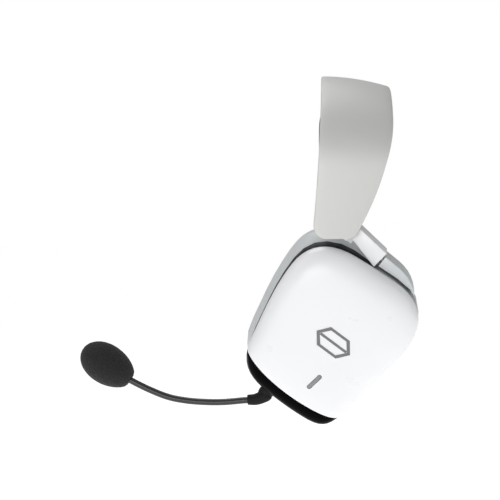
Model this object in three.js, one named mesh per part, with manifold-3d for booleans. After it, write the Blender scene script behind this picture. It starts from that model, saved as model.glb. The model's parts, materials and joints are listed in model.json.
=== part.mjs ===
// Over-ear gaming headset with a boom microphone, in millimetres.
// +Z is up, -X is the wearer's front, -Y is the wearer's left. The origin lies on the flat land under the head pad.
// Everything on the left side is built once and mirrored in the plane Y = 0 for the right side.
import * as THREE from "three";
import { mergeVertices } from "three/addons/utils/BufferGeometryUtils.js";
import Module from "manifold-3d";

const wasm = await Module();
wasm.setup();

// ---------------------------------------------------------------- driving dimensions
const GAP = 0.3; // clearance between touching pieces

// Headband: half an ellipse that runs on into two straight legs, seen from the front.
const ARCH_HALF_WIDTH = 83.5;
const ARCH_RISE = 51;
const ARCH_CENTRE_Z = -38;
const ARCH_TURN = THREE.MathUtils.degToRad(95); // angle from the crown at which the straight leg starts
const BAND_END_Z = -82;
const BAND_FRONT_X = -20.9;
const BAND_REAR_X = 18.8;
const BAND_CAMBER = 0.00394; // the rear edge lies closer to the head: drop per square millimetre from the front edge
const SHELL_THICKNESS = 2.4;
const SPRING_OFFSET = [1.65, 2.1];
const LINER_TOP_OFFSET = 2.4; // how far the liner's floor lies inside the shell, at the crown
const LINER_LEG_OFFSET = 8.8; // and in the legs, where the rails run
const LINER_THICKNESS = 1.6;
const LINER_END_Z = -60;
const PAD_UNDERSIDE_OFFSET = 13; // puts the pad's land at Z = 0
const PAD_TURN = THREE.MathUtils.degToRad(84);
const PAD_LAND_HALF = 10;

// Slider rail and the upright swivel at its foot.
const RAIL_WIDTH = 9;
const RAIL_THICKNESS = 2.2;
const RAIL_LENGTH = 27;
const SWIVEL = new THREE.Vector3(-13, -72.6, -76);
const SWIVEL_PIN_RADIUS = 1.5;
const EYE_RADIUS = 3.6;

// Ear cup frame: x runs rearwards, y up and z outwards, all in the cup's own lean.
const CUP_CENTRE = new THREE.Vector3(-15, -49.3, -131.6);
const CUP_LEAN = THREE.MathUtils.degToRad(38); // the top leans to the rear
const CUP_TOE_IN = THREE.MathUtils.degToRad(15); // the bottom leans towards the head
const CUP_YAW = THREE.MathUtils.degToRad(-3);
const OUTLINE_STEPS = 5; // straight pieces in each of the outline's eight curves
const OUTLINE_CENTRE = [-0.5, -2];
const DRIFT = { x: -3.1, y: 2.2, from: -1.5, to: -11 }; // the bezel and cushion sit further to the front and up
const CORNER_TUCK = 2; // and their upper rear corner is drawn in
const CAP_RIM = 9.6; // depth at which the outer cap starts
const FLOOR_OUT = 9.3; // outer face of the housing's floor
const FLOOR_IN = 7.3;
const LEDGE = -1.4; // depth at which the housing steps in and the bezel begins
const RIM = -8; // open rim of the housing
const BAFFLE = [-10.6, -8.3];
const CUSHION = [-30.5, -10.9];
const CUSHION_GROWTH = 0.2; // how far the cushion's wall stands outside the cap's outline
const EAR_HOLE = [21, 28]; // half axes of the opening in the cushion
const TRIM_CUT = { x: 0.5, y: 74, radius: 114 }; // the arc that parts the cap from the glossy lower trim

// Arm between the swivel and the cup, along the cup's own rearward direction.
const ARM_CORNERS = [[-24.6, 57], [-23.3, 49.4], [-4.5, 44.8], [-3.5, 55.1]];
const ARM_END = -3.5;
const ARM_DEPTH = [-1.6, 8.1]; // at the rear end; the whole block slopes inwards to the front
const ARM_COVER = [8.4, 9.9];
const ARM_SLOPE = 0.13;
const ARM_NECK = [[-34.5, 46.6], [-22, 53.4]]; // joins the block to the swivel eye
const ARM_FLOOR = 43.4; // the notch in the cup goes down to here
const TILT_AXIS = { y: 49.8, z: 4.5, radius: 1.5, start: -14, end: 6 };

// Driver, screws and controls inside the cups.
const DRIVER_RADIUS = 23;
const SCREW_SPOTS = [[-31, 20], [29, 27], [-22, -34]];
const SCREW_HOLE = 1.4;
const CONTROL_DEPTH = 3.5;
const WHEEL = { x: 30.4, y: -5, radius: 7.5, half: 1.5 };
const POWER_Y = -19;
const MUTE_Y = 8;
const BUTTON_HALF = [3, 1.3];
const MIC_PORT = { x: -6.5, z: 4, radius: 1.9 };
const USB_PORT = { x: 13, z: 3, half: [4.5, 1.65], depth: 7 };
const LED_SLOT = { x: 7.8, y: -24.3, length: 10.2, width: 1.9, turn: -7 };
const EMBLEM = { x: 2.2, y: 0.4, width: 23, height: 13, bar: 1.5 };

// Boom microphone, as points of its centre line.
const BOOM_RADIUS = 1.75;
const BOOT_BEND = [[-52.6, -42, -170.6], [-57.6, -41.6, -172.8], [-62.6, -41.2, -173.2]];
const BOOM_LOWER = [[-64.6, -41.1, -173.5], [-76, -40.4, -174.6], [-87, -39.7, -174.7], [-96, -39.1, -174.2]];
const BOOM_UPPER = [[-98.2, -38.9, -173.9], [-109, -38.2, -171.8], [-121, -37.4, -167.1], [-131.6, -36.8, -161.9]];
const FOAM_CENTRE = new THREE.Vector3(-143.4, -36, -154);
const FOAM_AXIS = new THREE.Vector3(-0.8, 0.05, 0.6).normalize();

// ---------------------------------------------------------------- colours and finishes
const FINISH = {
  pearl: { color: 0xc9cac6, roughness: 0.35, metalness: 0.1 },
  white: { color: 0xf4f5f6, roughness: 0.2, metalness: 0 },
  silver: { color: 0xb4b8b9, roughness: 0.45, metalness: 0.15 },
  gloss_black: { color: 0x0c0d0f, roughness: 0.08, metalness: 0 },
  matt_black: { color: 0x2a2b2d, roughness: 0.75, metalness: 0 },
  rubber: { color: 0x3a3b3d, roughness: 0.85, metalness: 0 },
  steel: { color: 0xa9acb0, roughness: 0.3, metalness: 1 },
  brass: { color: 0xc9a44e, roughness: 0.3, metalness: 1 },
  leather: { color: 0x9fa3a5, roughness: 0.6, metalness: 0 },
  fabric: { color: 0x1a1b1c, roughness: 0.95, metalness: 0 },
  foam: { color: 0x232324, roughness: 1, metalness: 0 },
  board: { color: 0x1c4a35, roughness: 0.5, metalness: 0 },
  film: { color: 0xd8d2c0, roughness: 0.4, metalness: 0 },
  lens: { color: 0x8a8f8c, roughness: 0.3, metalness: 0 },
  mark: { color: 0x737378, roughness: 0.4, metalness: 0.2 },
  cell: { color: 0x8f9aa5, roughness: 0.4, metalness: 0.4 },
};
const MATERIALS = Object.fromEntries(
  Object.entries(FINISH).map(([name, look]) => [name, new THREE.MeshStandardMaterial(look)]),
);

// ---------------------------------------------------------------- geometry helpers

// A three.js geometry as a solid that can be joined and cut.
function solid(geometry) {
  const bare = geometry.clone();
  bare.deleteAttribute("normal");
  bare.deleteAttribute("uv");
  const merged = mergeVertices(bare, 1e-4);
  return new wasm.Manifold(
    new wasm.Mesh({
      numProp: 3,
      vertProperties: merged.attributes.position.array,
      triVerts: new Uint32Array(merged.index.array),
    }),
  );
}

function geometryOf(body) {
  const mesh = body.getMesh();
  const positions = new Float32Array(mesh.numVert * 3);
  for (let i = 0; i < mesh.numVert; i++) {
    for (let k = 0; k < 3; k++) positions[3 * i + k] = mesh.vertProperties[i * mesh.numProp + k];
  }
  const geometry = new THREE.BufferGeometry();
  geometry.setAttribute("position", new THREE.BufferAttribute(positions, 3));
  geometry.setIndex(new THREE.BufferAttribute(new Uint32Array(mesh.triVerts), 1));
  return geometry;
}

const cut = (body, ...tools) => tools.reduce((rest, tool) => rest.subtract(tool), body);
const join = (body, ...others) => others.reduce((sum, other) => sum.add(other), body);

// The triangles that fill one flat ring, turning the same way as the ring.
function fillRing(ring) {
  const normal = new THREE.Vector3();
  ring.forEach((p, i) => normal.add(new THREE.Vector3().crossVectors(p, ring[(i + 1) % ring.length])));
  const turn = new THREE.Quaternion().setFromUnitVectors(normal.normalize(), new THREE.Vector3(0, 0, 1));
  const flat = ring.map((p) => p.clone().applyQuaternion(turn)).map((p) => new THREE.Vector2(p.x, p.y));
  return THREE.ShapeUtils.triangulateShape(flat, []);
}

// Skins a row of equally long rings. The ends are filled, or joined to each other when looped.
function loft(rings, looped = false) {
  const count = rings[0].length;
  const points = rings.flat();
  const faces = [];
  const last = looped ? rings.length : rings.length - 1;
  for (let i = 0; i < last; i++) {
    const here = i * count;
    const next = ((i + 1) % rings.length) * count;
    for (let j = 0; j < count; j++) {
      const k = (j + 1) % count;
      faces.push([here + j, here + k, next + k], [here + j, next + k, next + j]);
    }
  }
  if (!looped) {
    const end = (rings.length - 1) * count;
    for (const [a, b, c] of fillRing(rings[0])) faces.push([a, c, b]);
    for (const corners of fillRing(rings[rings.length - 1])) faces.push(corners.map((i) => i + end));
  }
  const geometry = new THREE.BufferGeometry().setFromPoints(points);
  geometry.setIndex(faces.flat());
  const body = solid(geometry);
  if (body.volume() > 0) return body;
  geometry.setIndex(faces.map(([a, b, c]) => [a, c, b]).flat());
  return solid(geometry);
}

function box([x0, x1], [y0, y1], [z0, z1]) {
  const geometry = new THREE.BoxGeometry(x1 - x0, y1 - y0, z1 - z0);
  return solid(geometry.translate((x0 + x1) / 2, (y0 + y1) / 2, (z0 + z1) / 2));
}

// A straight round rod between two points.
function rod(from, to, radius, sides = 16) {
  const axis = to.clone().sub(from);
  const geometry = new THREE.CylinderGeometry(radius, radius, axis.length(), sides);
  geometry.applyQuaternion(new THREE.Quaternion().setFromUnitVectors(new THREE.Vector3(0, 1, 0), axis.normalize()));
  const middle = from.clone().add(to).multiplyScalar(0.5);
  return solid(geometry.translate(middle.x, middle.y, middle.z));
}

// A round rod along the cup's depth.
const post = (x, y, [z0, z1], radius, sides = 12) =>
  rod(new THREE.Vector3(x, y, z0), new THREE.Vector3(x, y, z1), radius, sides);

// A body of revolution about the cup's depth axis. The profile lists [radius, depth] and starts and ends on the axis.
function turned(profile, sides = 24) {
  const points = profile.map(([radius, depth]) => new THREE.Vector2(radius, depth));
  const geometry = new THREE.LatheGeometry(points, sides);
  geometry.rotateX(Math.PI / 2);
  const body = solid(geometry);
  if (body.volume() > 0) return body;
  return turned([...profile].reverse(), sides);
}

// A flat shape raised along the cup's depth.
function slab(shape, [z0, z1], steps = 6) {
  const geometry = new THREE.ExtrudeGeometry(shape, { depth: z1 - z0, bevelEnabled: false, curveSegments: steps });
  return solid(geometry.translate(0, 0, z0));
}

// A round tube of changing radius along a smooth line through the given points.
function tube(points, radiusAt, rings, sides = 10, ballStart = false) {
  const curve = new THREE.CatmullRomCurve3(points.map((p) => new THREE.Vector3(...p)));
  const across = new THREE.Vector3(0, 1, 0);
  const ringAt = (centre, tangent, radius) => {
    const side = across.clone().addScaledVector(tangent, -across.dot(tangent)).normalize();
    const up = new THREE.Vector3().crossVectors(tangent, side);
    return Array.from({ length: sides }, (_, j) => {
      const angle = (2 * Math.PI * j) / sides;
      return centre
        .clone()
        .addScaledVector(side, radius * Math.cos(angle))
        .addScaledVector(up, radius * Math.sin(angle));
    });
  };
  const list = [];
  if (ballStart) {
    const tangent = curve.getTangentAt(0);
    const radius = radiusAt(0);
    for (const angle of [80, 60, 30].map(THREE.MathUtils.degToRad)) {
      const centre = curve.getPointAt(0).addScaledVector(tangent, -radius * Math.sin(angle));
      list.push(ringAt(centre, tangent, radius * Math.cos(angle)));
    }
  }
  for (let i = 0; i <= rings; i++) {
    const along = i / rings;
    list.push(ringAt(curve.getPointAt(along), curve.getTangentAt(along), radiusAt(along)));
  }
  return loft(list);
}

// 0 before from, 1 after to, with an even turn in between; from may be the larger.
function smooth(from, to, value) {
  const t = THREE.MathUtils.clamp((value - from) / (to - from), 0, 1);
  return t * t * (3 - 2 * t);
}

// ---------------------------------------------------------------- headband

const LEG_START_Z = ARCH_CENTRE_Z + ARCH_RISE * Math.cos(ARCH_TURN);
const LEG_START_Y = ARCH_HALF_WIDTH * Math.sin(ARCH_TURN);
const LEG_LEAN = Math.atan2(-ARCH_HALF_WIDTH * Math.cos(ARCH_TURN), ARCH_RISE * Math.sin(ARCH_TURN));

// A place on the arch's middle line with its outward direction; side is -1 on the left and +1 on the right.
function onArc(angle) {
  const y = ARCH_HALF_WIDTH * Math.sin(angle);
  const z = ARCH_CENTRE_Z + ARCH_RISE * Math.cos(angle);
  const out = new THREE.Vector3(0, ARCH_RISE * Math.sin(angle), ARCH_HALF_WIDTH * Math.cos(angle)).normalize();
  return { y, z, out };
}

function onLeg(side, z) {
  const y = side * (LEG_START_Y - (LEG_START_Z - z) * Math.tan(LEG_LEAN));
  return { y, z, out: new THREE.Vector3(0, side * Math.cos(LEG_LEAN), -Math.sin(LEG_LEAN)) };
}

// Stations from the left end to the right end of a layer that covers the arch up to a turn, and the legs down to endZ.
function stations(turn, endZ, arcSteps, legZ = []) {
  const arc = Array.from({ length: arcSteps + 1 }, (_, i) => onArc(turn * ((2 * i) / arcSteps - 1)));
  const legs = endZ === null ? [] : [...legZ, endZ];
  return [...legs.toReversed().map((z) => onLeg(-1, z)), ...arc, ...legs.map((z) => onLeg(1, z))];
}

const frontEdge = (z) => BAND_FRONT_X - 4.2 * ((14 - z) / 88) ** 2;
const rearEdge = (z) => BAND_REAR_X - 0.0042 * Math.max(0, -10 - z) ** 2;

const camber = (x) => BAND_CAMBER * (x - BAND_FRONT_X) ** 2;

// A point a given distance inside the arch's middle line, and one that follows the band's camber too.
const inward = (station, x, depth) =>
  new THREE.Vector3(x, station.y, station.z).addScaledVector(station.out, -depth);
const bandPoint = (station, x, inside) => inward(station, x, inside + camber(x));

// Four places across a layer, from one edge to the other.
const across = (from, to) => [0, 1, 2, 3].map((i) => THREE.MathUtils.lerp(from, to, i / 3));

// How much a corner of the given radius takes off an edge, at a height above the band's end.
function cornerInset(z, radius) {
  const above = z - BAND_END_Z;
  return above >= radius ? 0 : radius - Math.sqrt(radius ** 2 - (radius - above) ** 2);
}

function shellRing(station) {
  const front = frontEdge(station.z) + cornerInset(station.z, 8);
  const rear = rearEdge(station.z) - cornerInset(station.z, 2.5);
  const outer = -SHELL_THICKNESS / 2;
  const inner = SHELL_THICKNESS / 2;
  return [
    [front, outer + 0.9],
    ...across(front + 1.1, rear - 1.1).map((x) => [x, outer]),
    [rear, outer + 0.9],
    ...across(rear - 0.3, front + 0.3).map((x) => [x, inner]),
  ].map(([x, inside]) => bandPoint(station, x, inside));
}

// The bosses and screws sit in the legs, behind the rails.
const BAND_SCREW = { x: -2, z: -54 };

function bandScrewPoint(side, inside) {
  return bandPoint(onLeg(side, BAND_SCREW.z), BAND_SCREW.x, inside);
}

function headbandShell() {
  const row = stations(ARCH_TURN, BAND_END_Z, 22, [-52, -62, -70, -75, -78, -80.3]);
  let shell = loft(row.map(shellRing));
  for (const side of [-1, 1]) {
    shell = join(shell, rod(bandScrewPoint(side, 0.6), bandScrewPoint(side, LINER_LEG_OFFSET - 1), 2.6, 12));
    shell = cut(shell, rod(bandScrewPoint(side, 2.6), bandScrewPoint(side, LINER_LEG_OFFSET + 2), SCREW_HOLE, 10));
  }
  return shell;
}

const linerOffset = (z) => THREE.MathUtils.lerp(LINER_LEG_OFFSET, LINER_TOP_OFFSET, smooth(-34, 6, z));

// The liner is a channel: a floor with a low wall along each edge that meets the shell.
function headbandLiner() {
  const ring = (station) => {
    const front = frontEdge(station.z) + 0.9;
    const rear = rearEdge(station.z) - 0.9;
    const floor = linerOffset(station.z);
    const wall = SHELL_THICKNESS / 2 + GAP;
    return [
      [front, wall],
      ...across(front, rear).map((x) => [x, floor + LINER_THICKNESS]),
      [rear, wall],
      [rear - 1.5, wall],
      ...across(rear - 1.5, front + 1.5).map((x) => [x, floor]),
      [front + 1.5, wall],
    ].map(([x, inside]) => bandPoint(station, x, inside));
  };
  let liner = loft(stations(ARCH_TURN, LINER_END_Z, 22, [-52]).map(ring));
  for (const side of [-1, 1]) {
    liner = cut(liner, rod(bandScrewPoint(side, LINER_LEG_OFFSET - 1), bandScrewPoint(side, 14), SCREW_HOLE, 10));
  }
  return liner;
}

function headbandSpring() {
  const [top, bottom] = SPRING_OFFSET;
  const ring = (station) => [
    ...across(-13, 8).map((x) => bandPoint(station, x, top)),
    ...across(8, -13).map((x) => bandPoint(station, x, bottom)),
  ];
  return loft(stations(THREE.MathUtils.degToRad(72), null, 16).map(ring));
}

// The pad is rounded along its edges and has a flat land in the middle of its underside.
function headbandPad() {
  const ring = (station) => {
    const front = -19 - 3.4 * smooth(6, -12, station.z);
    const rear = 15;
    const top = linerOffset(station.z) + LINER_THICKNESS + 2 * GAP;
    const flatness = smooth(-34, 0, station.z);
    const underside = (x) => THREE.MathUtils.lerp(top + 6 + camber(x), PAD_UNDERSIDE_OFFSET, flatness);
    const points = [
      ...across(front + 1, rear - 1).map((x) => bandPoint(station, x, top)),
      inward(station, rear, underside(rear) - 1.5),
      ...across(rear - 2.5, front + 4).map((x) => inward(station, x, underside(x))),
      inward(station, front, underside(front) - 3),
    ];
    if (Math.abs(points[5].y) <= PAD_LAND_HALF) for (const i of [5, 6, 7, 8]) points[i].z = 0;
    return points;
  };
  return loft(stations(PAD_TURN, null, 24).map(ring));
}

function bandScrew(side) {
  const head = LINER_LEG_OFFSET + LINER_THICKNESS + 2 * GAP;
  return join(
    rod(bandScrewPoint(side, head), bandScrewPoint(side, head + 1.3), 2.2, 12),
    rod(bandScrewPoint(side, 3.4), bandScrewPoint(side, head + 0.5), SCREW_HOLE - GAP, 10),
  );
}

// ---------------------------------------------------------------- slider rail and swivel (left side)

const RAIL_DOWN = new THREE.Vector3(0, Math.sin(LEG_LEAN), -Math.cos(LEG_LEAN));
const alongRail = (distance) => SWIVEL.clone().addScaledVector(RAIL_DOWN, distance);
const FOOT = [-14, -7.3];
const ARM_EYE = [-7, 3.8];

function sliderRail() {
  const bar = solid(new THREE.BoxGeometry(RAIL_WIDTH, RAIL_THICKNESS, RAIL_LENGTH));
  const middle = alongRail(FOOT[0] + 0.5 - RAIL_LENGTH / 2);
  const turned = bar.rotate([THREE.MathUtils.radToDeg(LEG_LEAN), 0, 0]).translate(middle.toArray());
  const foot = rod(alongRail(FOOT[0]), alongRail(FOOT[1]), EYE_RADIUS);
  const bore = rod(alongRail(FOOT[0] + 2), alongRail(FOOT[1] + 1), SWIVEL_PIN_RADIUS + GAP, 12);
  return cut(join(turned, foot), bore);
}

function swivelPin() {
  return join(
    rod(alongRail(FOOT[0] + 2.4), alongRail(ARM_EYE[1] + 0.6), SWIVEL_PIN_RADIUS, 12),
    rod(alongRail(ARM_EYE[1] + GAP), alongRail(ARM_EYE[1] + 1.8), 2.4, 12),
  );
}

// ---------------------------------------------------------------- cup outline

const cupMatrix = new THREE.Matrix4()
  .makeTranslation(CUP_CENTRE)
  .multiply(new THREE.Matrix4().makeRotationZ(CUP_YAW))
  .multiply(new THREE.Matrix4().makeRotationX(CUP_TOE_IN))
  .multiply(new THREE.Matrix4().makeRotationY(CUP_LEAN))
  .multiply(new THREE.Matrix4().makeRotationX(Math.PI / 2));
const inCup = new THREE.Matrix4().copy(cupMatrix).invert();

// The same solid, carried from the headset's frame into the cup's frame.
const toCup = (body) => solid(geometryOf(body).applyMatrix4(inCup));

// The cup seen from outside: wide at the top, narrower below, with big rounded corners.
function cupOutline() {
  const path = new THREE.Path();
  path.moveTo(-41.3, 19);
  path.bezierCurveTo(-41.3, 33, -33, 42, -16, 43.8);
  path.bezierCurveTo(-8, 44.6, 2, 45.4, 10, 45.7);
  path.bezierCurveTo(26, 46.5, 38.6, 38, 38.8, 17);
  path.bezierCurveTo(38.8, 3, 36, -12, 34.4, -26);
  path.bezierCurveTo(32.6, -42, 32, -47.5, 16, -48.5);
  path.bezierCurveTo(8, -49.2, 0, -49.2, -8, -48.8);
  path.bezierCurveTo(-22.5, -48.4, -30.8, -43.6, -34, -27);
  path.bezierCurveTo(-37.2, -12.5, -41.3, 3, -41.3, 19);
  return path.getPoints(OUTLINE_STEPS).slice(0, -1);
}

const OUTLINE = cupOutline();

// The outward direction of the outline at each of its points.
const OUTLINE_NORMALS = OUTLINE.map((_, i) => {
  const before = OUTLINE[(i + OUTLINE.length - 1) % OUTLINE.length];
  const after = OUTLINE[(i + 1) % OUTLINE.length];
  return new THREE.Vector2(before.y - after.y, after.x - before.x).normalize();
});

// The outline scaled about its middle, at a depth.
const scaledRing = (scale, depth) =>
  OUTLINE.map(
    (p) =>
      new THREE.Vector3(
        OUTLINE_CENTRE[0] + (p.x - OUTLINE_CENTRE[0]) * scale,
        OUTLINE_CENTRE[1] + (p.y - OUTLINE_CENTRE[1]) * scale,
        depth,
      ),
  );

// The outline moved outwards by a distance, at a depth. Deeper rings also drift, and tuck in their upper rear corner.
function grownRing(distance, depth) {
  const drift = smooth(DRIFT.from, DRIFT.to, depth);
  return OUTLINE.map((p, i) => {
    const n = OUTLINE_NORMALS[i];
    const tuck = 2 * Math.max(0, n.x) * Math.max(0, n.y) * CORNER_TUCK;
    const grow = distance - tuck * drift;
    return new THREE.Vector3(p.x + n.x * grow + DRIFT.x * drift, p.y + n.y * grow + DRIFT.y * drift, depth);
  });
}

const grown = (profile) => loft(profile.map(([distance, depth]) => grownRing(distance, depth)));

// ---------------------------------------------------------------- cup shells (left side, in the cup's frame)

// The notch in the cup that the arm swings in, and the same notch widened by the wall's thickness.
const armNotch = (wall) => box([-70, ARM_END + 0.6 + wall], [ARM_FLOOR - wall, 80], [-2.6 - wall, 40]);

// The housing is black: a wall as wide as the cap, which steps in at the ledge and goes on inside the bezel.
function cupHousing(left) {
  const outer = grown([[-2.4, RIM], [-2.3, LEDGE], [-0.2, LEDGE + 0.05], [-0.2, FLOOR_OUT]]);
  const inner = grown([[-4.2, RIM - 1], [-4.1, 0.3], [-1.9, 0.4], [-1.9, FLOOR_IN]]);
  let housing = cut(outer, armNotch(0));
  housing = cut(housing, cut(inner, armNotch(2)));
  for (const [x, y] of SCREW_SPOTS) housing = join(housing, post(x, y, [RIM, FLOOR_IN + 0.5], 2.9));
  for (const [x, y] of SCREW_SPOTS) housing = cut(housing, post(x, y, [RIM - 1, 4], SCREW_HOLE, 10));
  for (const x of [-20, 20]) {
    for (const y of [-12, 20]) housing = join(housing, post(x, y, [FLOOR_OUT - 0.5, 11.9], 2.2, 8));
  }
  const wireHole = post(-14, 30, [FLOOR_IN - 1, FLOOR_OUT + 1], 3, 10);
  housing = cut(housing, wireHole);
  return left ? cut(housing, ...leftPorts()) : housing;
}

// The silver hump beside the arm that holds the tilt pin. A groove parts it from the housing's black wall.
function knuckle() {
  const shape = new THREE.Shape();
  shape.moveTo(ARM_END + 0.9, 40);
  shape.lineTo(ARM_END + 0.9, 53);
  shape.lineTo(6.6, 52.6);
  shape.bezierCurveTo(15, 52.2, 21, 48.5, 25.5, 42.5);
  shape.lineTo(25.5, 40);
  shape.closePath();
  return cut(slab(shape, [-6, FLOOR_OUT - 0.4], 6), grown([[1.6, LEDGE - 0.3], [1.6, 12]]));
}

// The silver bezel: a skirt round the housing's rear part, the baffle plate behind the driver, and the knuckle.
function cupBezel() {
  const skirt = grown([[0.1, BAFFLE[0]], [0.5, -9.6], [0.5, -4], [0.2, -2.4], [-0.5, LEDGE - 0.3]]);
  const nest = grown([[-2.1, BAFFLE[1]], [-2, LEDGE], [-2, 0]]);
  const bore = tiltRod(ARM_END - 3, TILT_AXIS.end + 0.6, TILT_AXIS.radius + GAP);
  let bezel = cut(skirt, armNotch(0));
  bezel = cut(join(bezel, knuckle()), nest, bore, post(0, 0, [-20, 0], 15, 28));
  for (const [x, y] of SCREW_SPOTS) {
    bezel = cut(bezel, post(x, y, [-20, 0], SCREW_HOLE, 10), post(x, y, [-20, -9.2], 2.6, 10));
  }
  return bezel;
}

// Openings through the left housing's wall for the wheel, the two buttons, the boom's jack and the charging port.
function leftPorts() {
  const around = (middle, half) => [middle - half - GAP, middle + half + GAP];
  const [along, deep] = BUTTON_HALF;
  const buttons = [POWER_Y, MUTE_Y].map((y) => box([30, 50], around(y, along), around(CONTROL_DEPTH, deep)));
  const wheel = box([32, 50], around(WHEEL.y, WHEEL.radius), around(CONTROL_DEPTH, WHEEL.half));
  const jack = rod(
    new THREE.Vector3(MIC_PORT.x, -60, MIC_PORT.z),
    new THREE.Vector3(MIC_PORT.x, -40, MIC_PORT.z),
    MIC_PORT.radius + 0.6,
    12,
  );
  const [wide, high] = USB_PORT.half;
  const usb = box(around(USB_PORT.x, wide), [-60, -44], around(USB_PORT.z, high));
  return [...buttons, wheel, jack, usb];
}

// Outer surface of the cap and trim together, from the rim to the crown, and its hollow.
const DOME = [[0.985, CAP_RIM], [1, 11.2], [0.99, 14.5], [0.955, 17.8], [0.88, 20.6], [0.765, 22.6], [0.6, 23.8], [0.42, 24.3]];
const DOME_HOLLOW = [[0.935, CAP_RIM - 1], [0.945, 14], [0.905, 16.6], [0.83, 18.9], [0.71, 20.7], [0.55, 21.8], [0.4, 22.3]];

function dome() {
  const skin = loft(DOME.map(([scale, depth]) => scaledRing(scale, depth)));
  const hollow = loft(DOME_HOLLOW.map(([scale, depth]) => scaledRing(scale, depth)));
  return cut(skin, hollow);
}

const trimCutter = (radius) => post(TRIM_CUT.x, TRIM_CUT.y, [0, 40], radius, 160);

function hexagon(width, height) {
  const shape = new THREE.Shape();
  const corners = [[-0.5, 0], [-0.28, -0.5], [0.28, -0.5], [0.5, 0], [0.28, 0.5], [-0.28, 0.5]];
  corners.forEach(([x, y], i) => (i ? shape.lineTo(x * width, y * height) : shape.moveTo(x * width, y * height)));
  shape.closePath();
  return shape;
}

const EMBLEM_BED = 23.6;

function cupCap(left) {
  const bed = slab(hexagon(EMBLEM.width + 0.8, EMBLEM.height + 0.8), [EMBLEM_BED - GAP, 30]);
  let cap = dome().intersect(trimCutter(TRIM_CUT.radius));
  cap = cut(cap, bed.translate([EMBLEM.x, EMBLEM.y, 0]), box([-60, ARM_END + 0.9], [ARM_FLOOR, 60], [0, 10.7]));
  return left ? cut(cap, ledBar(GAP, [15, 30])) : cap;
}

const cupTrim = () => cut(dome(), trimCutter(TRIM_CUT.radius + GAP));

// A plain hexagonal ring with one bar, a neutral mark.
function emblem() {
  const { width, height, bar } = EMBLEM;
  const depth = [EMBLEM_BED, 24.6];
  const ring = cut(slab(hexagon(width, height), depth), slab(hexagon(width - 4.4, height - 3), [0, 40]));
  return join(ring, box([-width / 2 + 1.2, width / 2 - 1.2], [-bar / 2, bar / 2], depth)).translate([EMBLEM.x, EMBLEM.y, 0]);
}

function ledBar(extra, depth) {
  const { x, y, length, width, turn } = LED_SLOT;
  const half = width / 2 + extra;
  const straight = length / 2 - width / 2;
  const shape = new THREE.Shape();
  shape.absarc(0, straight, half, 0, Math.PI);
  shape.absarc(0, -straight, half, Math.PI, 2 * Math.PI);
  return slab(shape, depth, 5).rotate([0, 0, turn]).translate([x, y, 0]);
}

// ---------------------------------------------------------------- inside the cups

function baffleScrew([x, y]) {
  return join(post(x, y, [-10.6, -9.5], 2.2, 10), post(x, y, [-9.8, 2], SCREW_HOLE - GAP, 8));
}

const driverFrame = () =>
  cut(
    turned([[0, 2], [19, 2], [20.5, -5.8], [DRIVER_RADIUS, -6.2], [DRIVER_RADIUS, -8], [0, -8]], 28),
    turned([[0, 0.4], [17.4, 0.4], [18.4, -9], [0, -9]], 28),
    post(0, 0, [-20, 20], 9),
  );

const driverMagnet = () => turned([[0, 6.9], [11.6, 6.9], [12.4, 6.1], [12.4, 2.3], [0, 2.3]], 24);

const driverDiaphragm = () =>
  turned([[0, -4.2], [7, -4.9], [9.5, -6.6], [12.5, -5.6], [16.6, -6.6], [16.6, -7.1], [12.5, -6.3], [9.5, -7.4], [7, -5.6], [0, -4.9]], 24);

// The opening of the ear cushion at a bearing, as the ellipse point that faces the outline's own point.
function earHolePoint(i, grow = 0) {
  const p = OUTLINE[i];
  const bearing = Math.atan2(p.y / EAR_HOLE[1], p.x / EAR_HOLE[0]);
  return new THREE.Vector2(-2 + (EAR_HOLE[0] + grow) * Math.cos(bearing), (EAR_HOLE[1] + grow) * Math.sin(bearing));
}

// Cross-section of the cushion: how far from the outer wall to the ear opening, and the depth.
const CUSHION_SECTION = [[0.07, -10.9], [0, -14], [-0.02, -21], [0.06, -27], [0.25, CUSHION[0]], [0.7, CUSHION[0]], [0.93, -27], [1, -20], [0.97, -10.9]];

function earCushion() {
  const rows = CUSHION_SECTION.map(([share, depth]) =>
    grownRing(CUSHION_GROWTH, depth).map((outer, i) => {
      const hole = earHolePoint(i);
      return new THREE.Vector3(
        THREE.MathUtils.lerp(outer.x, hole.x, share),
        THREE.MathUtils.lerp(outer.y, hole.y, share),
        depth,
      );
    }),
  );
  return loft(rows, true);
}

function earScrim() {
  const ring = (depth) => OUTLINE.map((_, i) => earHolePoint(i, -0.7)).map((p) => new THREE.Vector3(p.x, p.y, depth));
  return loft([ring(-11.5), ring(-10.9)]);
}

// ---------------------------------------------------------------- arm between the swivel and the cup (left side)

const tiltRod = (from, to, radius) =>
  rod(new THREE.Vector3(from, TILT_AXIS.y, TILT_AXIS.z), new THREE.Vector3(to, TILT_AXIS.y, TILT_AXIS.z), radius);

// A solid that slopes inwards towards the front, as the whole arm does.
const sloped = (body) => {
  const shear = [1, 0, ARM_SLOPE, 0, 0, 1, 0, 0, 0, 0, 1, 0, 0, 0, -ARM_SLOPE * ARM_END, 1];
  return body.transform(shear);
};

function armBlock(depth) {
  return sloped(slab(new THREE.Shape(ARM_CORNERS.map(([x, y]) => new THREE.Vector2(x, y))), depth));
}

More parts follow.
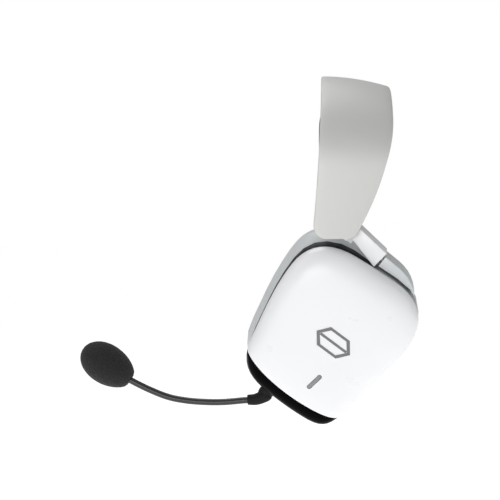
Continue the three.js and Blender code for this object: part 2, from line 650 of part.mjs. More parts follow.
// A block behind the cover, with a neck that ends in the swivel's eye.
function armBody() {
  const [[x0, y0], [x1, y1]] = ARM_NECK;
  const neck = join(box([x0, x1 - 3.1], [y0, y1], [-2, 7.2]), box([x1 - 4, x1], [y0, y1], [-2, 5.2]));
  const eye = toCup(rod(alongRail(ARM_EYE[0]), alongRail(ARM_EYE[1]), EYE_RADIUS));
  const bore = toCup(rod(alongRail(-20), alongRail(20), SWIVEL_PIN_RADIUS + GAP, 12));
  const headRoom = toCup(rod(alongRail(ARM_EYE[1]), alongRail(12), 2.8, 12));
  const pinHole = tiltRod(TILT_AXIS.start - 0.4, 0, TILT_AXIS.radius + GAP);
  return cut(join(armBlock(ARM_DEPTH), neck, eye), bore, headRoom, pinHole);
}

const armCover = () => armBlock(ARM_COVER);

const tiltPin = () => tiltRod(TILT_AXIS.start, TILT_AXIS.end, TILT_AXIS.radius);

// ---------------------------------------------------------------- electronics and controls

// The main board with its chips, on the housing's four posts.
function mainBoard() {
  const plate = box([-24, 24], [-30, 26], [12.2, 13.8]);
  const chips = [box([-10, 2], [2, 14], [13.7, 15.2]), box([8, 16], [6, 12], [13.7, 14.8]), box([-16, -9], [-18, -8], [13.7, 15.6])];
  return join(plate, ...chips);
}

// The narrow board beside the driver, with a switch under each button.
function controlBoard() {
  const plate = box([23.6, 29.4], [-22, 14], [-3.1, -1.7]);
  const switches = [POWER_Y, MUTE_Y].map((y) => box([24.5, 28.5], [y - 2.5, y + 2.5], [-1.9, CONTROL_DEPTH + 1.6]));
  return join(plate, ...switches);
}

const volumeWheel = () =>
  cut(
    post(WHEEL.x, WHEEL.y, [CONTROL_DEPTH - WHEEL.half, CONTROL_DEPTH + WHEEL.half], WHEEL.radius, 28),
    post(WHEEL.x, WHEEL.y, [0, 10], 1.8, 12),
  );

const volumeEncoder = () =>
  join(
    box([WHEEL.x - 3.5, WHEEL.x + 1.6], [WHEEL.y - 3, WHEEL.y + 3], [-1.4, 1.5]),
    post(WHEEL.x, WHEEL.y, [1, CONTROL_DEPTH + 2.2], 1.5),
  );

// The outer face of the rear wall at a height.
const wallX = (y) => (y > 0 ? 38.1 : 35.1);

// A button: a cap in the wall and a narrower stem that reaches its switch.
function pressButton(y) {
  const [along, deep] = BUTTON_HALF;
  return join(
    box([33.1, wallX(y) + 0.7], [y - along, y + along], [CONTROL_DEPTH - deep, CONTROL_DEPTH + deep]),
    box([29.7, 33.5], [y - 1.2, y + 1.2], [CONTROL_DEPTH - 1, CONTROL_DEPTH + 1]),
  );
}

function usbSocket() {
  const { x, z, half, depth } = USB_PORT;
  const [wide, high] = half;
  const outer = box([x - wide, x + wide], [-48.3, -48.3 + depth], [z - high, z + high]);
  const mouth = box([x - wide + 0.4, x + wide - 0.4], [-60, -43.3], [z - high + 0.4, z + high - 0.4]);
  const tongue = box([x - 3.2, x + 3.2], [-47.8, -42], [z - 0.35, z + 0.35]);
  return join(cut(outer, mouth), tongue);
}

const micRod = (from, to, radius, sides = 12) =>
  rod(new THREE.Vector3(MIC_PORT.x, from, MIC_PORT.z), new THREE.Vector3(MIC_PORT.x, to, MIC_PORT.z), radius, sides);

const micSocket = () => cut(micRod(-46.5, -32, 3.2), micRod(-60, -34, MIC_PORT.radius + GAP));
const micPlug = () => join(micRod(-48.6, -38, MIC_PORT.radius - 0.2), micRod(-38.5, -35, 1.3));
const battery = () => box([-19, 19], [-24, 22], [12.3, 18]);
const chargeBoard = () => join(box([-12, 12], [-36, -26], [12.3, 13.6]), box([-5, 3], [-34, -29], [13.5, 15]));

// ---------------------------------------------------------------- boom microphone (in the headset's frame)

const inHeadset = (x, y, z) => new THREE.Vector3(x, y, z).applyMatrix4(cupMatrix).toArray();

function micBoot() {
  const root = inHeadset(MIC_PORT.x, -49.6, MIC_PORT.z);
  const bend = inHeadset(MIC_PORT.x, -53.6, MIC_PORT.z);
  return tube([root, bend, ...BOOT_BEND], (along) => THREE.MathUtils.lerp(4.5, 2.7, smooth(0.3, 0.9, along)), 9, 12);
}

const boomLower = () => tube(BOOM_LOWER, () => BOOM_RADIUS, 8, 10, true);
const boomUpper = () => tube(BOOM_UPPER, () => BOOM_RADIUS, 8, 10, true);

// A body of revolution about the windscreen's long axis; profile lists [radius, distance along the axis].
function aboutFoamAxis(profile, sides) {
  const body = turned(profile, sides);
  const turn = new THREE.Quaternion().setFromUnitVectors(new THREE.Vector3(0, 0, 1), FOAM_AXIS);
  const move = new THREE.Matrix4().compose(FOAM_CENTRE, turn, new THREE.Vector3(1, 1, 1));
  return solid(geometryOf(body).applyMatrix4(move));
}

const micCapsule = () => aboutFoamAxis([[0, -12.4], [3.2, -12.4], [4, -11], [4, -4], [3.3, -3], [0, -3]], 14);

function micFoam() {
  const half = 17;
  const egg = [[4.4, -15.6]];
  for (let angle = -60; angle <= 75; angle += 15) {
    const turn = THREE.MathUtils.degToRad(angle);
    egg.push([(11.4 + 0.8 * Math.sin(turn)) * Math.cos(turn), half * Math.sin(turn)]);
  }
  return aboutFoamAxis([[0, -2], [4.4, -2], ...egg, [0, half]], 20);
}

// ---------------------------------------------------------------- assembly

const headset = new THREE.Group();
const leftSide = new THREE.Group();
const rightSide = new THREE.Group();
rightSide.scale.set(1, -1, 1);
headset.add(leftSide, rightSide);

// Adds a piece. A piece made in the cup's frame is carried to the headset's frame here.
function add(group, name, body, finish, inCupFrame = false) {
  const geometry = geometryOf(body);
  if (inCupFrame) geometry.applyMatrix4(cupMatrix);
  const mesh = new THREE.Mesh(geometry, MATERIALS[finish]);
  mesh.name = name;
  group.add(mesh);
}

function addHeadband() {
  add(headset, "headband_shell", headbandShell(), "pearl");
  add(headset, "headband_liner", headbandLiner(), "pearl");
  add(headset, "headband_spring", headbandSpring(), "steel");
  add(headset, "headband_pad", headbandPad(), "fabric");
  add(headset, "headband_screw_left", bandScrew(-1), "steel");
  add(headset, "headband_screw_right", bandScrew(1), "steel");
}

function addSide(group, side) {
  const left = side === "left";
  add(group, "slider_rail_" + side, sliderRail(), "steel");
  add(group, "swivel_pin_" + side, swivelPin(), "steel");
  const pieces = [
    ["arm_body", armBody(), "silver"],
    ["arm_cover", armCover(), "white"],
    ["tilt_pin", tiltPin(), "steel"],
    ["cup_housing", cupHousing(left), "matt_black"],
    ["cup_bezel", cupBezel(), "silver"],
    ["cup_cap", cupCap(left), "white"],
    ["cup_trim", cupTrim(), "gloss_black"],
    ["emblem", emblem(), "mark"],
    ["driver_frame", driverFrame(), "matt_black"],
    ["driver_magnet", driverMagnet(), "steel"],
    ["driver_diaphragm", driverDiaphragm(), "film"],
    ["ear_cushion", earCushion(), "leather"],
    ["ear_scrim", earScrim(), "fabric"],
  ];
  for (const [name, body, finish] of pieces) add(group, name + "_" + side, body, finish, true);
  SCREW_SPOTS.forEach((spot, i) => add(group, `baffle_screw_${side}_${i + 1}`, baffleScrew(spot), "steel", true));
}

function addLeftParts() {
  const pieces = [
    ["main_board", mainBoard(), "board"],
    ["control_board", controlBoard(), "board"],
    ["volume_wheel", volumeWheel(), "rubber"],
    ["volume_encoder", volumeEncoder(), "steel"],
    ["power_button", pressButton(POWER_Y), "matt_black"],
    ["mute_button", pressButton(MUTE_Y), "matt_black"],
    ["usb_socket", usbSocket(), "steel"],
    ["mic_socket", micSocket(), "matt_black"],
    ["light_pipe", ledBar(0, [15.5, 24]), "lens"],
    ["mic_plug", micPlug(), "brass"],
  ];
  for (const [name, body, finish] of pieces) add(leftSide, name, body, finish, true);
  add(leftSide, "mic_boot", micBoot(), "rubber");
  add(leftSide, "boom_lower", boomLower(), "rubber");
  add(leftSide, "boom_upper", boomUpper(), "rubber");
  add(leftSide, "mic_capsule", micCapsule(), "steel");
  add(leftSide, "mic_foam", micFoam(), "foam");
}

addHeadband();
addSide(leftSide, "left");
addSide(rightSide, "right");
addLeftParts();
add(rightSide, "battery", battery(), "cell", true);
add(rightSide, "charge_board", chargeBoard(), "board", true);

export default headset;
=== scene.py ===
"""Looks of an over-ear gaming headset with a boom microphone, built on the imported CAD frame.

The shapes are worked out in millimetres in the frame of the part:
+Z up, -X the wearer's front, -Y the wearer's left.
"""

import json
import math

import bmesh
import bpy
from mathutils import Matrix, Vector, noise
from mathutils.bvhtree import BVHTree


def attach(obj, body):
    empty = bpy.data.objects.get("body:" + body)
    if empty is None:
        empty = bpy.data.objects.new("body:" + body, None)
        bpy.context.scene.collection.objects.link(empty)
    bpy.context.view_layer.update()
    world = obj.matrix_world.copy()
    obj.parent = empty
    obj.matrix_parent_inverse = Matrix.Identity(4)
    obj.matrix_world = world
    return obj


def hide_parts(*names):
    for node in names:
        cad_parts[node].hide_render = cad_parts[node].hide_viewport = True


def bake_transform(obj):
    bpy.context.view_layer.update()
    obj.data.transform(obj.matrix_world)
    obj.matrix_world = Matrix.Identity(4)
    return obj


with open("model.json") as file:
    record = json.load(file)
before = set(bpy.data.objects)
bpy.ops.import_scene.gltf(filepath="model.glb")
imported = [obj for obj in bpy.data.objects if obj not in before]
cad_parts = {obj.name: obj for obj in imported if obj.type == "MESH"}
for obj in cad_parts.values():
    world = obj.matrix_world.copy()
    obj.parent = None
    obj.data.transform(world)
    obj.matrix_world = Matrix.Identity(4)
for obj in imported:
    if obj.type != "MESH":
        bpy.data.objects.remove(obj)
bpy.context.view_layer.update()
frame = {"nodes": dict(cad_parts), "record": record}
NODES = frame["nodes"]
BODY_OF = {node: body for body, nodes in frame["record"]["behaviour"]["bodies"].items() for node in nodes}
MM = 0.001
SIDES = ("left", "right")

# ------------------------------------------------------------------ driving dimensions, as in the CAD part
ARCH_HALF_WIDTH = 83.5
ARCH_RISE = 51.0
ARCH_CENTRE_Z = -38.0
ARCH_TURN = math.radians(95)
BAND_END_Z = -82.0
BAND_FRONT_X = -20.9
BAND_REAR_X = 18.8
BAND_CAMBER = 0.00394
SHELL_HALF = 1.2
LINER_TOP = 2.4
LINER_LEG = 8.8
LINER_THICKNESS = 1.6
PAD_TURN = math.radians(84)
PAD_UNDERSIDE = 13.0
PAD_FRONT_X = -19.2
PAD_LEG_STEP = 3.4  # how much further forward the pad's front is on the legs
PAD_REAR_X = 15

CUP_CENTRE = Vector((-15, -49.3, -131.6))
CUP = (
    Matrix.Translation(CUP_CENTRE)
    @ Matrix.Rotation(math.radians(-3), 4, "Z")
    @ Matrix.Rotation(math.radians(15), 4, "X")
    @ Matrix.Rotation(math.radians(38), 4, "Y")
    @ Matrix.Rotation(math.radians(90), 4, "X")
)
OUTLINE_START = (-41.3, 19)
OUTLINE_CURVES = [
    ((-41.3, 33), (-33, 42), (-16, 43.8)),
    ((-8, 44.6), (2, 45.4), (10, 45.7)),
    ((26, 46.5), (38.6, 38), (38.8, 17)),
    ((38.8, 3), (36, -12), (34.4, -26)),
    ((32.6, -42), (32, -47.5), (16, -48.5)),
    ((8, -49.2), (0, -49.2), (-8, -48.8)),
    ((-22.5, -48.4), (-30.8, -43.6), (-34, -27)),
    ((-37.2, -12.5), (-41.3, 3), (-41.3, 19)),
]
OUTLINE_CENTRE = Vector((-0.5, -2))
# The dome's section: share of the way from its middle to its edge, and height in the cup.
DOME = [
    (0.985, 9.6), (1, 11.2), (0.99, 14.5), (0.955, 17.8),
    (0.88, 20.6), (0.765, 22.6), (0.6, 23.8), (0.42, 24.3),
]
CROWN = [(0.3, 24.42), (0.18, 24.48), (0.07, 24.5)]
CROWN_TOP = 24.52
SHEET_THICKNESS = 1.7
TRIM_CUT = (0.5, 74, 114)
ARM_NOTCH = ((-70, -2.6), (43.4, 80), (-30, 10.7))  # where the arm swings, in the cup's x, y and depth
SEAM = 0.3
DRIFT = dict(x=-3.1, y=2.2, start=-1.5, end=-11)
CORNER_TUCK = 2
CUSHION_BACK = -10.9
CUSHION_GROWTH = 0.2
SCRIM_DEPTH = -11.4
SCRIM_SAG = 0.25
EAR_HOLE = (21, 28)
EAR_HOLE_X = -2
LED_SLOT = dict(x=7.8, y=-24.3, length=10.2, width=1.9, turn=-7)
EMBLEM = dict(x=2.2, y=0.4, width=23, height=13, bar=1.5)

BOOM_RADIUS = 1.9
BOOM_RIB = 0.02
LOWER_BEND = ((-62.6, -41.2, -173.4), (-79, -40.2, -174.7))
UPPER_BEND = ((-88, -39.6, -174.7), (-110, -38.1, -171.5))
BOOT_ROOT = [(-6.5, -49.7, 4), (-6.5, -53.6, 4)]  # in the cup's own frame
BOOT_RADII = (4.6, 2.9)
BOOT_BEND = [(-52.6, -42, -170.6), (-57.6, -41.6, -172.8), (-62.6, -41.2, -173.2)]
BOOM_LINE = [
    (-60.6, -41.3, -173.4), (-64.6, -41.1, -173.5), (-76, -40.4, -174.6), (-87, -39.7, -174.7),
    (-98.2, -38.9, -173.9), (-109, -38.2, -171.8), (-121, -37.4, -167.1), (-132.6, -36.7, -161.4),
]
FOAM_CENTRE = Vector((-143.4, -36, -154))
FOAM_AXIS = Vector((-0.845, 0.05, 0.535)).normalized()
FOAM_NECK = [(2.6, -9), (2.5, -14.6), (3.2, -15.7)]
FOAM_RADIUS = 11.4
FOAM_HALF_LENGTH = 17

CLOTH_FRAMES = 20
CLOTH_STIFFNESS = 15

# The housing's wall turns from black to grey where 0.795 x - 0.595 z passes these values, in metres. The black
# is the wall's own, deepened as painted shade of the gap under the cap; the grey behind the arm is painted
# light on the black wall.
WALL_PAINTED_LIGHT_TURN = (0.061, 0.067)
WALL_BLACK_AND_PAINTED_SHADE = (0.004, 0.004, 0.0045)
WALL_PAINTED_LIGHT_GREY = (0.38, 0.395, 0.405)

# The surroundings' brightness from straight down (0) through eye level (0.5) to straight up (1).
SKY_BANDS = [(0.0, 0.9), (0.44, 0.85), (0.58, 0.6), (0.8, 0.55), (0.95, 0.8), (1.0, 0.9)]
SKY_STRENGTH = 0.66
# Name, place and size in metres, and power in watts.
LAMPS = [
    ("key_light", (-0.45, -1.5, -0.2), 0.9, 7),
    ("top_light", (-1.1, -0.2, 1.2), 1.2, 3),
    ("back_light", (-0.3, 0.7, 1.4), 1.0, 7),
]
FLOOR_HALF = 4.0
FLOOR_Z = -0.32

# ------------------------------------------------------------------ mesh helpers


def lerp(a, b, t):
    return a + (b - a) * t


def smooth(low, high, value):
    """0 below low, 1 above high, and an even turn in between; low may be the larger."""
    t = min(1.0, max(0.0, (value - low) / (high - low)))
    return t * t * (3 - 2 * t)


def add_object(name, data):
    obj = bpy.data.objects.new(name, data)
    bpy.context.scene.collection.objects.link(obj)
    return obj


def mesh_object(name, points, faces, mirrored=False):
    """An object from points in millimetres. A mirrored one is turned over to the right side."""
    sign = -1 if mirrored else 1
    mesh = bpy.data.meshes.new(name)
    loops = [tuple(reversed(f)) for f in faces] if mirrored else faces
    mesh.from_pydata([(p[0] * MM, p[1] * MM * sign, p[2] * MM) for p in points], [], loops)
    mesh.validate()
    return add_object(name, mesh)


def grid_faces(rows, count, looped=False):
    """Quads between rows of equally many points, each row closed on itself."""
    last = rows if looped else rows - 1
    faces = []
    for i in range(last):
        here = i * count
        there = ((i + 1) % rows) * count
        for j in range(count):
            k = (j + 1) % count
            faces.append((here + j, here + k, there + k, there + j))
    return faces


def loft(name, rings, mirrored=False, looped=False, ends=True):
    """A skin over a row of rings in millimetres, closed with a flat face at each end."""
    count = len(rings[0])
    points = [p for ring in rings for p in ring]
    faces = grid_faces(len(rings), count, looped)
    if ends and not looped:
        faces.append(tuple(reversed(range(count))))
        faces.append(tuple(range((len(rings) - 1) * count, len(rings) * count)))
    obj = mesh_object(name, points, faces, mirrored)
    face_outwards(obj)
    return obj


def face_outwards(obj):
    """Turns the faces of a closed mesh outwards."""
    bm = bmesh.new()
    bm.from_mesh(obj.data)
    bmesh.ops.recalc_face_normals(bm, faces=bm.faces)
    bm.to_mesh(obj.data)
    bm.free()


def modifier(obj, kind, **settings):
    made = obj.modifiers.new(kind.title(), kind)
    for key, value in settings.items():
        setattr(made, key, value)
    return made


def settle(obj, sharp=35):
    """Puts the modifiers into the mesh and shades it smooth, apart from its sharp edges."""
    bpy.context.view_layer.update()
    shown = obj.evaluated_get(bpy.context.evaluated_depsgraph_get())
    mesh = bpy.data.meshes.new_from_object(shown)
    mesh.name = obj.name
    obj.modifiers.clear()
    obj.data = mesh
    mesh.shade_smooth()
    mesh.set_sharp_from_angle(angle=math.radians(sharp))
    return obj


def bevel(obj, width, segments=2, angle=32):
    limit = math.radians(angle)
    modifier(obj, "BEVEL", width=width * MM, segments=segments, limit_method="ANGLE", angle_limit=limit)


def finish(obj, material, body, slot, *nodes):
    """Gives a piece its material, sets it on its body, and lets it stand for its CAD nodes."""
    obj.data.materials.clear()
    obj.data.materials.append(material)
    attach(obj, body)
    if nodes:
        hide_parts(*nodes)


def refined(node, material, slot, width):
    """A CAD node's own shape with softened edges."""
    source = NODES[node]
    bm = bmesh.new()
    bm.from_mesh(source.data)
    bm.transform(source.matrix_world)
    bmesh.ops.remove_doubles(bm, verts=bm.verts, dist=0.002 * MM)
    bmesh.ops.dissolve_limit(bm, angle_limit=math.radians(0.6), verts=bm.verts, edges=bm.edges)
    bmesh.ops.recalc_face_normals(bm, faces=bm.faces)
    mesh = bpy.data.meshes.new("fine_" + node)
    bm.to_mesh(mesh)
    bm.free()
    obj = add_object("fine_" + node, mesh)
    bevel(obj, width)
    settle(obj)
    finish(obj, material, BODY_OF[node], slot, node)


def curve_points(points, steps):
    """A smooth line through the given points, with steps pieces between each two."""
    pts = [Vector(p) for p in points]
    pts = [2 * pts[0] - pts[1], *pts, 2 * pts[-1] - pts[-2]]
    line = []
    for i in range(1, len(pts) - 2):
        a, b, c, d = pts[i - 1 : i + 3]
        slope = c - a
        bend = 2 * a - 5 * b + 4 * c - d
        turn = 3 * b - a - 3 * c + d
        for k in range(steps):
            t = k / steps
            line.append(0.5 * (2 * b + slope * t + bend * t * t + turn * t**3))
    line.append(pts[-2])
    return line


def tube_rings(line, radius_at, sides, aside=(0, 1, 0)):
    """Circles square to a line that never runs along aside; radius_at takes the share of the way along."""
    rings = []
    last = len(line) - 1
    for i, centre in enumerate(line):
        tangent = (line[min(i + 1, last)] - line[max(i - 1, 0)]).normalized()
        across = Vector(aside)
        across = (across - across.dot(tangent) * tangent).normalized()
        up = tangent.cross(across)
        radius = radius_at(i / last)
        turns = [2 * math.pi * j / sides for j in range(sides)]
        rings.append([centre + radius * (math.cos(a) * across + math.sin(a) * up) for a in turns])
    return rings


# ------------------------------------------------------------------ materials


class Look:
    """A procedural material: its Principled shader and the patterns that feed it."""

    def __init__(self, name, colour, rough, **sockets):
        self.material = bpy.data.materials.new(name)
        self.material.use_nodes = True
        tree = self.material.node_tree
        self.nodes = tree.nodes
        self.links = tree.links
        self.shader = self.nodes["Principled BSDF"]
        self.shader.inputs["Base Color"].default_value = (*colour, 1)
        self.shader.inputs["Roughness"].default_value = rough
        for key, value in sockets.items():
            self.shader.inputs[key.replace("_", " ")].default_value = value
        self.colour = colour
        self.rough = rough
        self.place = self.nodes.new("ShaderNodeTexCoord").outputs["Object"]
        self.height = None

    def feed(self, socket, value):
        """Links a pattern to a socket, or sets a plain value on it."""
        if isinstance(value, bpy.types.NodeSocket):
            self.links.new(value, socket)
        else:
            socket.default_value = value

    def node(self, kind, **inputs):
        made = self.nodes.new(kind)
        for key, value in inputs.items():
            self.feed(made.inputs[key.replace("_", " ")], value)
        return made

    def noise(self, scale, detail):
        return self.node("ShaderNodeTexNoise", Vector=self.place, Scale=scale, Detail=detail).outputs["Fac"]

    def cells(self, scale, feature="F1"):
        made = self.nodes.new("ShaderNodeTexVoronoi")
        made.feature = feature
        self.links.new(self.place, made.inputs["Vector"])
        made.inputs["Scale"].default_value = scale
        return made.outputs["Distance"]

    def waves(self, scale, direction, distortion=0.0):
        made = self.nodes.new("ShaderNodeTexWave")
        made.bands_direction = direction
        self.links.new(self.place, made.inputs["Vector"])
        made.inputs["Scale"].default_value = scale
        made.inputs["Distortion"].default_value = distortion
        return made.outputs["Fac"]

    def spread(self, value, low, high, out_low=0.0, out_high=1.0):
        names = {"Value": value, "From Min": low, "From Max": high, "To Min": out_low, "To Max": out_high}
        made = self.nodes.new("ShaderNodeMapRange")
        for key, setting in names.items():
            self.feed(made.inputs[key], setting)
        return made.outputs["Result"]

    def maths(self, operation, a, b):
        made = self.nodes.new("ShaderNodeMath")
        made.operation = operation
        for socket, value in zip(made.inputs, (a, b)):
            self.feed(socket, value)
        return made.outputs["Value"]

    def tint(self, value, dark, light):
        """The base colour runs from dark to light with a pattern."""
        ramp = self.nodes.new("ShaderNodeValToRGB")
        ramp.color_ramp.elements[0].color = (*dark, 1)
        ramp.color_ramp.elements[1].color = (*light, 1)
        self.links.new(value, ramp.inputs["Fac"])
        self.links.new(ramp.outputs["Color"], self.shader.inputs["Base Color"])
        return self

    def shades(self, value, amount):
        """The base colour varies by a share of itself."""
        dark = [c * (1 - amount) for c in self.colour]
        light = [min(1.0, c * (1 + amount)) for c in self.colour]
        return self.tint(value, dark, light)

    def roughness(self, value, low, high):
        self.links.new(self.spread(value, 0.3, 0.7, low, high), self.shader.inputs["Roughness"])
        return self

    def bump(self, value, strength, distance):
        made = self.node("ShaderNodeBump", Height=value, Strength=strength, Distance=distance * MM)
        if self.height is not None:
            self.links.new(self.height, made.inputs["Normal"])
        self.height = made.outputs["Normal"]
        self.links.new(self.height, self.shader.inputs["Normal"])
        return self


def pearl_paint():
    coat = dict(Coat_Weight=0.12, Coat_Roughness=0.4)
    look = Look("pearl_paint", (0.60, 0.605, 0.585), 0.56, Metallic=0.25, **coat)
    look.shades(look.noise(30, 2), 0.03)
    look.roughness(look.noise(60, 4), 0.53, 0.6)
    return look.bump(look.noise(2600, 2), 0.06, 0.02).material


def white_gloss():
    look = Look("white_gloss", (0.82, 0.825, 0.84), 0.3, Coat_Weight=0.4, Coat_Roughness=0.22)
    look.shades(look.noise(25, 2), 0.008)
    look.roughness(look.noise(90, 5), 0.27, 0.33)
    return look.bump(look.noise(500, 2), 0.04, 0.01).material


def silver_plastic():
    coat = dict(Coat_Weight=0.15, Coat_Roughness=0.3)
    look = Look("silver_plastic", (0.60, 0.625, 0.635), 0.42, Metallic=0.15, **coat)
    look.shades(look.noise(35, 3), 0.04)
    look.roughness(look.noise(120, 4), 0.38, 0.48)
    return look.bump(look.noise(2400, 3), 0.12, 0.02).material


def piano_black():
    look = Look("piano_black", (0.0012, 0.0012, 0.0014), 0.07, Specular_IOR_Level=0.02)
    look.roughness(look.noise(140, 6), 0.05, 0.11)
    return look.bump(look.noise(300, 2), 0.02, 0.01).material


def wall_painted_light_and_shade():
    """The housing's wall: black at the front, its own black deepened as painted shade of the gap under the
    cap, and grey behind the arm as painted light on the black wall.
    """
    look = Look("wall_painted_light_and_shade", WALL_BLACK_AND_PAINTED_SHADE, 0.5, Specular_IOR_Level=0.12)
    split = look.node("ShaderNodeSeparateXYZ", Vector=look.place).outputs
    along = look.maths("MULTIPLY", split["X"], 0.795)
    height = look.maths("MULTIPLY", split["Z"], 0.595)
    rearward = look.maths("SUBTRACT", along, height)
    look.tint(look.spread(rearward, *WALL_PAINTED_LIGHT_TURN), WALL_BLACK_AND_PAINTED_SHADE, WALL_PAINTED_LIGHT_GREY)
    look.roughness(look.noise(150, 4), 0.45, 0.58)
    return look.bump(look.noise(1800, 3), 0.2, 0.03).material


# Silver made paler all over: painted light, standing in for the light on the arm bodies' top faces.
def silver_painted_light():
    look = Look("silver_painted_light", (0.80, 0.82, 0.81), 0.36, Coat_Weight=0.2, Coat_Roughness=0.2)
    look.shades(look.noise(40, 3), 0.03)
    look.roughness(look.noise(130, 4), 0.32, 0.42)
    return look.bump(look.noise(2200, 3), 0.1, 0.02).material


def matt_black():
    look = Look("matt_black", (0.010, 0.010, 0.011), 0.6, Specular_IOR_Level=0.25)
    look.shades(look.noise(60, 3), 0.2)
    look.roughness(look.noise(150, 4), 0.52, 0.68)
    return look.bump(look.noise(1800, 3), 0.25, 0.04).material


def soft_rubber():
    look = Look("soft_rubber", (0.012, 0.012, 0.013), 0.4, Specular_IOR_Level=0.12)
    look.shades(look.noise(80, 3), 0.12)
    look.roughness(look.noise(200, 4), 0.48, 0.62)
    return look.bump(look.noise(2200, 3), 0.2, 0.03).material


def boom_satin():
    look = Look("boom_satin", (0.014, 0.014, 0.016), 0.24, Specular_IOR_Level=0.6)
    look.shades(look.noise(90, 3), 0.15)
    look.roughness(look.noise(220, 4), 0.2, 0.3)
    return look.bump(look.noise(1500, 3), 0.06, 0.02).material


def brushed_steel():
    look = Look("brushed_steel", (0.5, 0.51, 0.53), 0.3, Metallic=1.0)
    look.shades(look.noise(50, 3), 0.06)
    look.roughness(look.waves(900, "Z", 6), 0.24, 0.4)
    return look.bump(look.waves(1400, "Z", 4), 0.08, 0.02).material


def polished_brass():
    look = Look("polished_brass", (0.72, 0.5, 0.2), 0.2, Metallic=1.0)
    look.shades(look.noise(120, 4), 0.1)
    look.roughness(look.noise(300, 4), 0.15, 0.3)
    return look.bump(look.noise(900, 2), 0.05, 0.01).material


def soft_leather():
    coat = dict(Coat_Weight=0.08, Coat_Roughness=0.4)
    look = Look("soft_leather", (0.60, 0.625, 0.63), 0.5, Sheen_Weight=0.1, **coat)
    grain = look.cells(900, "DISTANCE_TO_EDGE")
    pores = look.cells(1700)
    look.shades(look.noise(45, 4), 0.06)
    look.roughness(look.noise(260, 4), 0.44, 0.58)
    look.bump(look.spread(grain, 0.0, 0.25), 0.3, 0.08)
    return look.bump(pores, 0.15, 0.03).material


def knitted_fabric():
    look = Look("knitted_fabric", (0.012, 0.012, 0.013), 0.9, Sheen_Weight=0.4, Sheen_Roughness=0.5)
    rows = look.maths("MULTIPLY", look.waves(1100, "X"), look.waves(1100, "Y"))
    knots = look.maths("ADD", rows, look.maths("MULTIPLY", look.waves(1100, "Z"), 0.5))
    look.tint(knots, (0.006, 0.006, 0.007), (0.03, 0.03, 0.032))
    look.bump(knots, 0.5, 0.12)
    return look.bump(look.noise(3000, 2), 0.2, 0.04).material


def speaker_cloth():
    look = Look("speaker_cloth", (0.02, 0.02, 0.022), 0.85, Sheen_Weight=0.3)
    weave = look.maths("MULTIPLY", look.waves(800, "X"), look.waves(800, "Z"))
    look.tint(weave, (0.004, 0.004, 0.004), (0.045, 0.045, 0.048))
    return look.bump(weave, 0.6, 0.15).material


def open_foam():
    look = Look("open_foam", (0.006, 0.006, 0.0065), 0.95, Sheen_Weight=0.04, Sheen_Roughness=0.6)
    pores = look.cells(1100)
    fine = look.cells(2300)
    look.tint(look.spread(pores, 0.05, 0.6), (0.002, 0.002, 0.002), (0.012, 0.012, 0.0125))
    look.bump(pores, 0.8, 0.35)
    return look.bump(fine, 0.5, 0.15).material


def circuit_board():
    look = Look("circuit_board", (0.01, 0.09, 0.05), 0.35, Coat_Weight=0.4)
    bricks = look.nodes.new("ShaderNodeTexBrick")
    look.links.new(look.place, bricks.inputs["Vector"])
    bricks.inputs["Scale"].default_value = 160
    bricks.inputs["Color1"].default_value = (0.01, 0.09, 0.05, 1)
    bricks.inputs["Color2"].default_value = (0.012, 0.12, 0.065, 1)
    bricks.inputs["Mortar"].default_value = (0.16, 0.2, 0.08, 1)
    look.links.new(bricks.outputs["Color"], look.shader.inputs["Base Color"])
    look.roughness(look.noise(200, 3), 0.3, 0.42)
    return look.bump(bricks.outputs["Fac"], 0.3, 0.05).material


def thin_film():
    look = Look("thin_film", (0.6, 0.56, 0.46), 0.3, Coat_Weight=0.2)
    look.shades(look.noise(150, 3), 0.06)
    return look.bump(look.waves(500, "DIAGONAL"), 0.2, 0.05).material


def frosted_lens():
    look = Look("frosted_lens", (0.215, 0.235, 0.225), 0.32, Coat_Weight=0.5, Coat_Roughness=0.1)
    look.shades(look.noise(400, 3), 0.05)
    look.roughness(look.noise(700, 3), 0.26, 0.4)
    return look.bump(look.noise(3000, 2), 0.1, 0.02).material


def satin_mark():
    look = Look("satin_mark", (0.165, 0.165, 0.175), 0.38, Metallic=0.3)
    look.shades(look.noise(160, 3), 0.05)
    look.roughness(look.noise(400, 3), 0.32, 0.45)
    return look.bump(look.noise(2600, 2), 0.1, 0.02).material


def foil_cell():
    look = Look("foil_cell", (0.28, 0.33, 0.38), 0.35, Metallic=0.5)
    look.shades(look.noise(70, 3), 0.08)
    look.roughness(look.noise(300, 5), 0.28, 0.45)
    return look.bump(look.noise(120, 4), 0.25, 0.1).material


def floor_white():
    look = Look("floor_white", (0.93, 0.93, 0.93), 0.7, Emission_Color=(1, 1, 1, 1), Emission_Strength=0.64)
    look.shades(look.noise(3, 2), 0.005)
    return look.material


LOOKS = {
    "pearl": pearl_paint(),
    "white": white_gloss(),
    "silver": silver_plastic(),
    "pale": silver_painted_light(),
    "wall": wall_painted_light_and_shade(),
    "gloss_black": piano_black(),
    "matt_black": matt_black(),
    "rubber": soft_rubber(),
    "boom": boom_satin(),
    "steel": brushed_steel(),
    "brass": polished_brass(),
    "leather": soft_leather(),
    "fabric": knitted_fabric(),
    "cloth": speaker_cloth(),
    "foam": open_foam(),
    "board": circuit_board(),
    "film": thin_film(),
    "lens": frosted_lens(),
    "mark": satin_mark(),
    "cell": foil_cell(),
}


def dress_frame():
    """Every CAD node gets its slot's procedural material. Finer pieces stand in for most visible ones."""
    for entry in frame["record"]["subparts"]:
        node = NODES[entry["node"]]
        for material_slot in node.material_slots:
            material_slot.link = "OBJECT"
            material_slot.material = LOOKS[entry["material_slot"]]


# ------------------------------------------------------------------ headband

